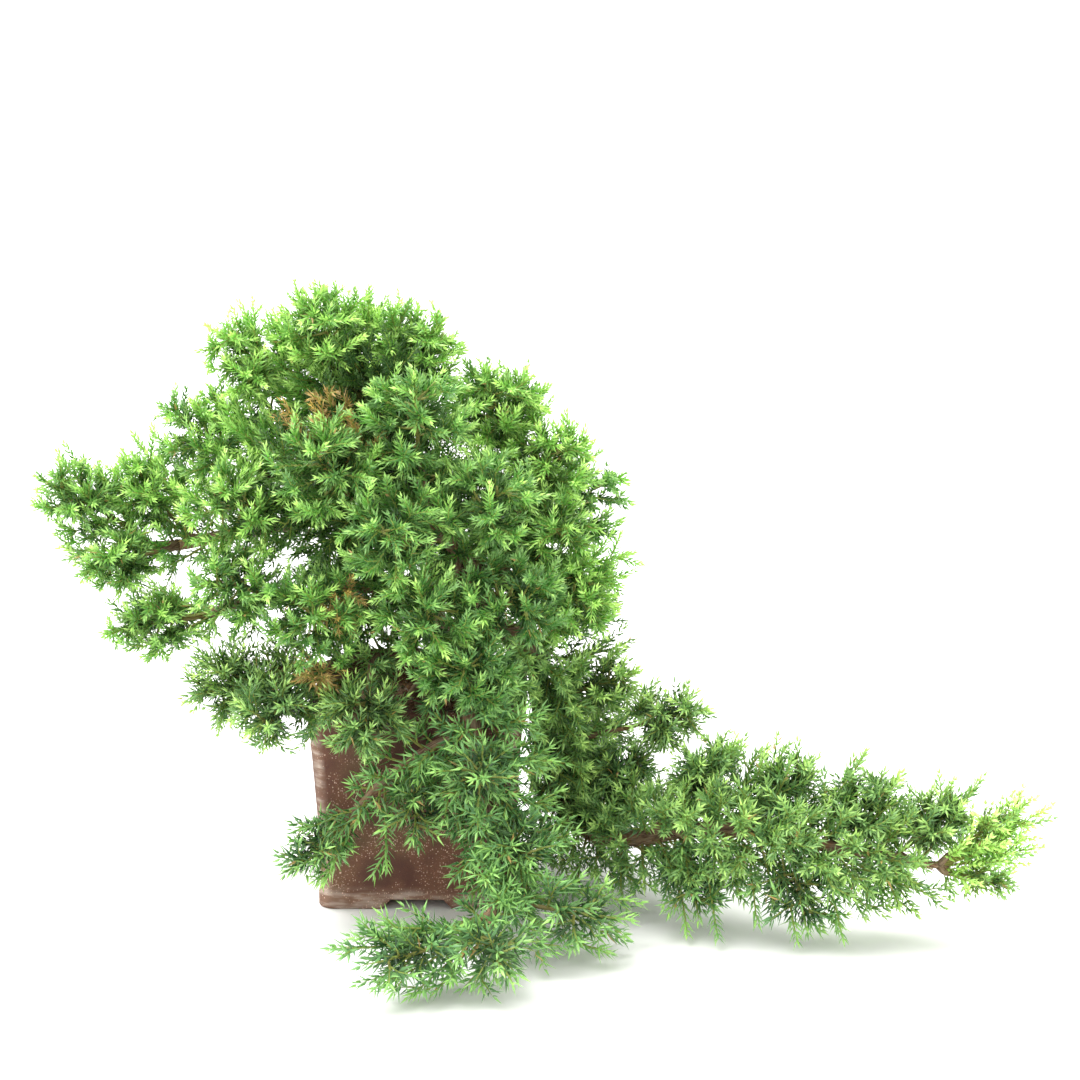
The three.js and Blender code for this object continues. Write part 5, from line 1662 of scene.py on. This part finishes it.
def slow_waves(points, amount, wave, rng):
    """Slow random waves through space, for hand-made surfaces."""
    total = np.zeros(len(points))
    for _ in range(WAVES):
        way = unit(rng.normal(size=3)) * 2 * math.pi / (wave * rng.uniform(0.7, 1.6))
        total += np.sin(points @ way + rng.uniform(0, 2 * math.pi))
    return amount * total / 2.6


def capped_skin(rings, low_centre, high_centre):
    """Triangles over a stack of outlines, closed by a fan at each end."""
    count, size = rings.shape[:2]
    faces = []
    k = np.arange(size)
    after = (k + 1) % size
    for ring in range(count - 1):
        a, b = ring * size + k, ring * size + after
        faces += [np.column_stack([a, b, b + size]), np.column_stack([a, b + size, a + size])]
    top = (count - 1) * size
    faces.append(np.column_stack([after, k, np.full(size, count * size)]))
    faces.append(np.column_stack([top + k, top + after, np.full(size, count * size + 1)]))
    points = np.vstack([rings.reshape(-1, 3), low_centre, high_centre])
    return points, np.vstack(faces)


print("a surface is the sum of", WAVES, "waves")

# %% [markdown]
# ## The pot
# The wall is pushed in and out by up to a few tenths of a millimetre on its outside only. Wear is
# worked out from the shape: it is strong on the foot and along the corners, and breaks up there.
# Along the corners it also stands for a painted highlight on their edges.

# %% Pot mesh
POT_SEED = 7
FOOT_WEAR = 0.75
# How pale the corners get: partly wear, partly a painted highlight.
CORNER_WEAR_AND_HIGHLIGHT = 0.85
ROWS_BEFORE_WALL = 7
ROWS_AFTER_WALL = 11

rng = np.random.default_rng(POT_SEED)
points, faces = capped_skin(outlines, (0, 0, FLOOR_BOTTOM), (0, 0, FLOOR_TOP))
on_wall = range(ROWS_BEFORE_WALL, len(rows) - ROWS_AFTER_WALL)
outside = np.repeat([i in on_wall for i in range(len(rows))], outlines.shape[1])
outside = np.append(outside, [False, False])
push = slow_waves(points, 0.22, 45, rng) + slow_waves(points, 0.08, 14, rng)
points[:, :2] += (unit(points[:, :2]) * push[:, None]) * outside[:, None]
low = np.clip((FOOT_HEIGHT + 1 - points[:, 2]) / 3, 0, 1) * FOOT_WEAR
corner = np.abs(points[:, :2]).min(1) / np.maximum(np.abs(points[:, :2]).max(1), 1)
# Paler along the corners: partly wear, partly a painted highlight on the corner edges.
corner_wear_and_highlight = np.clip((corner - 0.86) / 0.08, 0, 1) * CORNER_WEAR_AND_HIGHLIGHT
patchiness = 0.75 + 0.25 * slow_waves(points, 1.0, 11, rng)
wear = np.clip(np.maximum(low, corner_wear_and_highlight) * patchiness, 0, 1)
skin = bundle(points, faces, wear=wear)
pot = make_piece("fine_pot", skin, [STONEWARE], "pot", ("wear",), smooth=True)
print("triangles in the pot's skin:", len(faces))

# %% [markdown]
# ## Feet and drain hole
# The potter cuts the foot ring away under the middle of each side, which leaves four corner feet,
# and makes a hole in the floor. These cuts are Boolean differences with two long prisms and a
# cylinder, applied at once, so that the mesh is final.

# %% Cut the feet and the drain hole
FOOT_GAP = 44.0
FOOT_GAP_SLOPE = 5.0
DRAIN_RADIUS = 12.0


def cutter(name, outline, depth, turned):
    """A prism along Y, or along X when turned, from an outline in X and Z."""
    near = np.array([(x, -depth, z) for x, z in outline])
    far = near * (1, -1, 1)
    points = np.vstack([near, far])
    if turned:
        points = np.column_stack([-points[:, 1], points[:, 0], points[:, 2]])
    n = len(outline)
    faces = [list(range(n)), list(range(2 * n - 1, n - 1, -1))]
    faces += [[k, k + n, (k + 1) % n + n, (k + 1) % n] for k in range(n)]
    return in_scene(name, new_mesh(name, points, faces))


def cut(piece, tool):
    """Takes the tool's shape out of the piece and removes the tool."""
    bpy.context.view_layer.update()
    modifier = piece.modifiers.new("cut", "BOOLEAN")
    modifier.object = tool
    modifier.operation = "DIFFERENCE"
    modifier.solver = "EXACT"
    bpy.context.view_layer.objects.active = piece
    bpy.ops.object.modifier_apply(modifier=modifier.name)
    bpy.data.objects.remove(tool)


half = FOOT_GAP / 2
shoulder = FLOOR_BOTTOM - FOOT_GAP_SLOPE
passage = [(-half, -5), (half, -5), (half, shoulder), (half - FOOT_GAP_SLOPE, FLOOR_BOTTOM)]
passage += [(FOOT_GAP_SLOPE - half, FLOOR_BOTTOM), (-half, shoulder)]
for turned in (False, True):
    cut(pot, cutter("foot_passage", passage, 90, turned))
bpy.ops.mesh.primitive_cylinder_add(vertices=48, radius=DRAIN_RADIUS * MM, depth=40 * MM)
drill = bpy.context.object
drill.location = metres((0, 0, 10))
cut(pot, drill)
print("the pot now has", len(pot.data.polygons), "faces")

# %% [markdown]
# ## Soil
# The soil is a low mound just under the rim, rough with grains. The mound is one closed body that
# fills the pot, and grains are strewn over it: small uneven octahedra, half sunk in.

# %% Height of the soil and a grain's shape
SOIL_EDGE_HEIGHT = 121.0
SOIL_CROWN_HEIGHT = 127.0
SOIL_RINGS = 22
GRAINS = 900
OCTAHEDRON = np.array([(1, 0, 0), (-1, 0, 0), (0, 1, 0), (0, -1, 0), (0, 0, 1), (0, 0, -1)], float)
OCTAHEDRON_FACES = np.array(
    [(0, 2, 4), (2, 1, 4), (1, 3, 4), (3, 0, 4), (2, 0, 5), (1, 2, 5), (3, 1, 5), (0, 3, 5)]
)


def soil_height(points):
    """The height of the mound at a place."""
    edge = np.abs(points[:, :2]).max(1) / (wall_half(SOIL_EDGE_HEIGHT) - WALL)
    return SOIL_EDGE_HEIGHT + (SOIL_CROWN_HEIGHT - SOIL_EDGE_HEIGHT) * (1 - edge)


print("the soil lies", round(POT_HEIGHT - SOIL_EDGE_HEIGHT, 1), "mm below the rim at its edge")

# %% [markdown]
# ## The mound and its grains
# The mound is a skin like the pot's: a few outlines up the inside of the wall, and then smaller and
# smaller squares up to its middle. Each grain has its own size, turn, dents and tone.

# %% Make the soil
SOIL_SEED = 9
MOUND_HEIGHTS = (20.0, 70.0, 118.0)
MOUND_TONE = 0.25
GRAIN_RADII = (0.9, 2.1)
GRAIN_STRETCH = (0.7, 1.2)
GRAIN_DENTS = 0.18

rng = np.random.default_rng(SOIL_SEED)
inner = wall_half(SOIL_EDGE_HEIGHT) - WALL - 0.5
stack = []
for z in MOUND_HEIGHTS:
    stack.append(square_outline(wall_half(z) - WALL - 0.5, INNER_CORNER_CUT, z))
for ring in range(SOIL_RINGS):
    inward = 1 - ring / SOIL_RINGS
    outline = square_outline(inner * inward, INNER_CORNER_CUT * inward, 0)
    outline[:, 2] = soil_height(outline) + rng.normal(0, 0.25, len(outline))
    stack.append(outline)
points, faces = capped_skin(np.array(stack), (0, 0, MOUND_HEIGHTS[0]), (0, 0, SOIL_CROWN_HEIGHT))
mound = bundle(points, faces, tone=MOUND_TONE)
seats = rng.uniform(-inner + 1.5, inner - 1.5, (GRAINS, 2))
size = rng.uniform(*GRAIN_RADII, (GRAINS, 1, 1)) * rng.uniform(*GRAIN_STRETCH, (GRAINS, 1, 3))
angle = rng.uniform(0, 2 * math.pi, GRAINS)[:, None, None]
shape = OCTAHEDRON * size + rng.normal(0, GRAIN_DENTS, (GRAINS, 6, 3))
x, y, z = shape[..., :1], shape[..., 1:2], shape[..., 2:]
turned = (x * np.cos(angle) - y * np.sin(angle), x * np.sin(angle) + y * np.cos(angle), z)
spun = np.concatenate(turned, axis=-1)
seat_points = np.column_stack([seats, soil_height(seats) + 0.3])
grains = bundle(
    spun + seat_points[:, None],
    OCTAHEDRON_FACES + 6 * np.arange(GRAINS)[:, None, None],
    tone=np.repeat(rng.random(GRAINS), 6),
)
make_piece("fine_soil", stacked([mound, grains]), [GRIT], "soil", ("tone",))
print("grains:", GRAINS, "and triangles in the soil:", triangles["fine_soil"])

# %% [markdown]
# ## Bench
# The tree stands on a plain white surface in soft, even daylight, stronger from the upper left, so
# that it has hardly any shadow. The camera looks a little down on it from about 1.4 m with a short
# telephoto lens, as one photographs a tree for a record. The white surface is matt paper.

# %% Bench
SPREAD_MM = 60000

corners = [(x * SPREAD_MM, y * SPREAD_MM) for x, y in ((-1, -1), (1, -1), (1, 1), (-1, 1))]
floor_mesh = bpy.data.meshes.new("bench")
floor_mesh.from_pydata([(x * MM, y * MM, 0) for x, y in corners], [], [(0, 1, 2, 3)])
floor = in_scene("bench", floor_mesh)
paper, tree, shader = new_material("matt_white_paper", 0.9, 1.4)
fibre = add(tree, "TexNoise", {"Scale": 2.0, "Detail": 2.0})
white = tinted(tree, "#f4f3f1", "#f8f7f6", fibre, 0.3, 0.7)
join(tree, shader, {"Base Color": white})
floor_mesh.materials.append(paper)
floor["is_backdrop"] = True
print("bench laid")

# %% [markdown]
# ## Daylight
# A white sky gives most of the light. One sun, as wide as a bright cloud, adds a soft shade to the
# right of each shoot. The colours are shown as they are, without a film look.

# %% Daylight
SKY_STRENGTH = 1.35
SUN_STRENGTH = 5.4
SUN_WIDTH = 55
SUN_TILT = (-12, -24, 0)

world = bpy.data.worlds.new("daylight")
bpy.context.scene.world = world
world.use_nodes = True
sky = world.node_tree.nodes["Background"]
join(world.node_tree, sky, {"Color": "#ffffff", "Strength": SKY_STRENGTH})
sun = bpy.data.lights.new("soft_sun", "SUN")
sun.energy = SUN_STRENGTH
sun.angle = math.radians(SUN_WIDTH)
in_scene("soft_sun", sun).rotation_euler = [math.radians(angle) for angle in SUN_TILT]
bpy.context.scene.view_settings.view_transform = "Standard"
print("a soft sun in white daylight")

# %% [markdown]
# ## Camera
# It stands in front of the pot, a little to the right and above, because the long branch makes the
# tree wider on that side. It looks down by 9.5 degrees.

# %% Camera
CAMERA_MM = np.array([80.0, -1371.0, 462.0])
LOOKS_DOWN = 9.5
camera_data = bpy.data.cameras.new("camera")
camera_data.lens = 70
camera_data.sensor_width = 36
camera_data.clip_end = 50
camera = in_scene("camera", camera_data)
camera.location = metres(CAMERA_MM)
camera.rotation_euler = (math.radians(90 - LOOKS_DOWN), 0, 0)
bpy.context.scene.camera = camera
print("camera at", [round(v, 3) for v in camera.location])

# %% [markdown]
# ## Measure and finish
# Both boxes' spans, the measured tree's and the finished one's, are printed side by side, with
# the count of triangles. The finished tree must not be larger than the measured one, apart from a
# little foliage.

# %% Sizes and finish
visual_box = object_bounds()
for side in range(3):
    spans = [(box[1][side] - box[0][side]) / MM for box in (cad_box, visual_box)]
    print("XYZ"[side], "measured", round(spans[0], 1), "mm, finished", round(spans[1], 1), "mm")
most = max(triangles.values())
print("triangles in all:", sum(triangles.values()), "and most in one piece:", most)
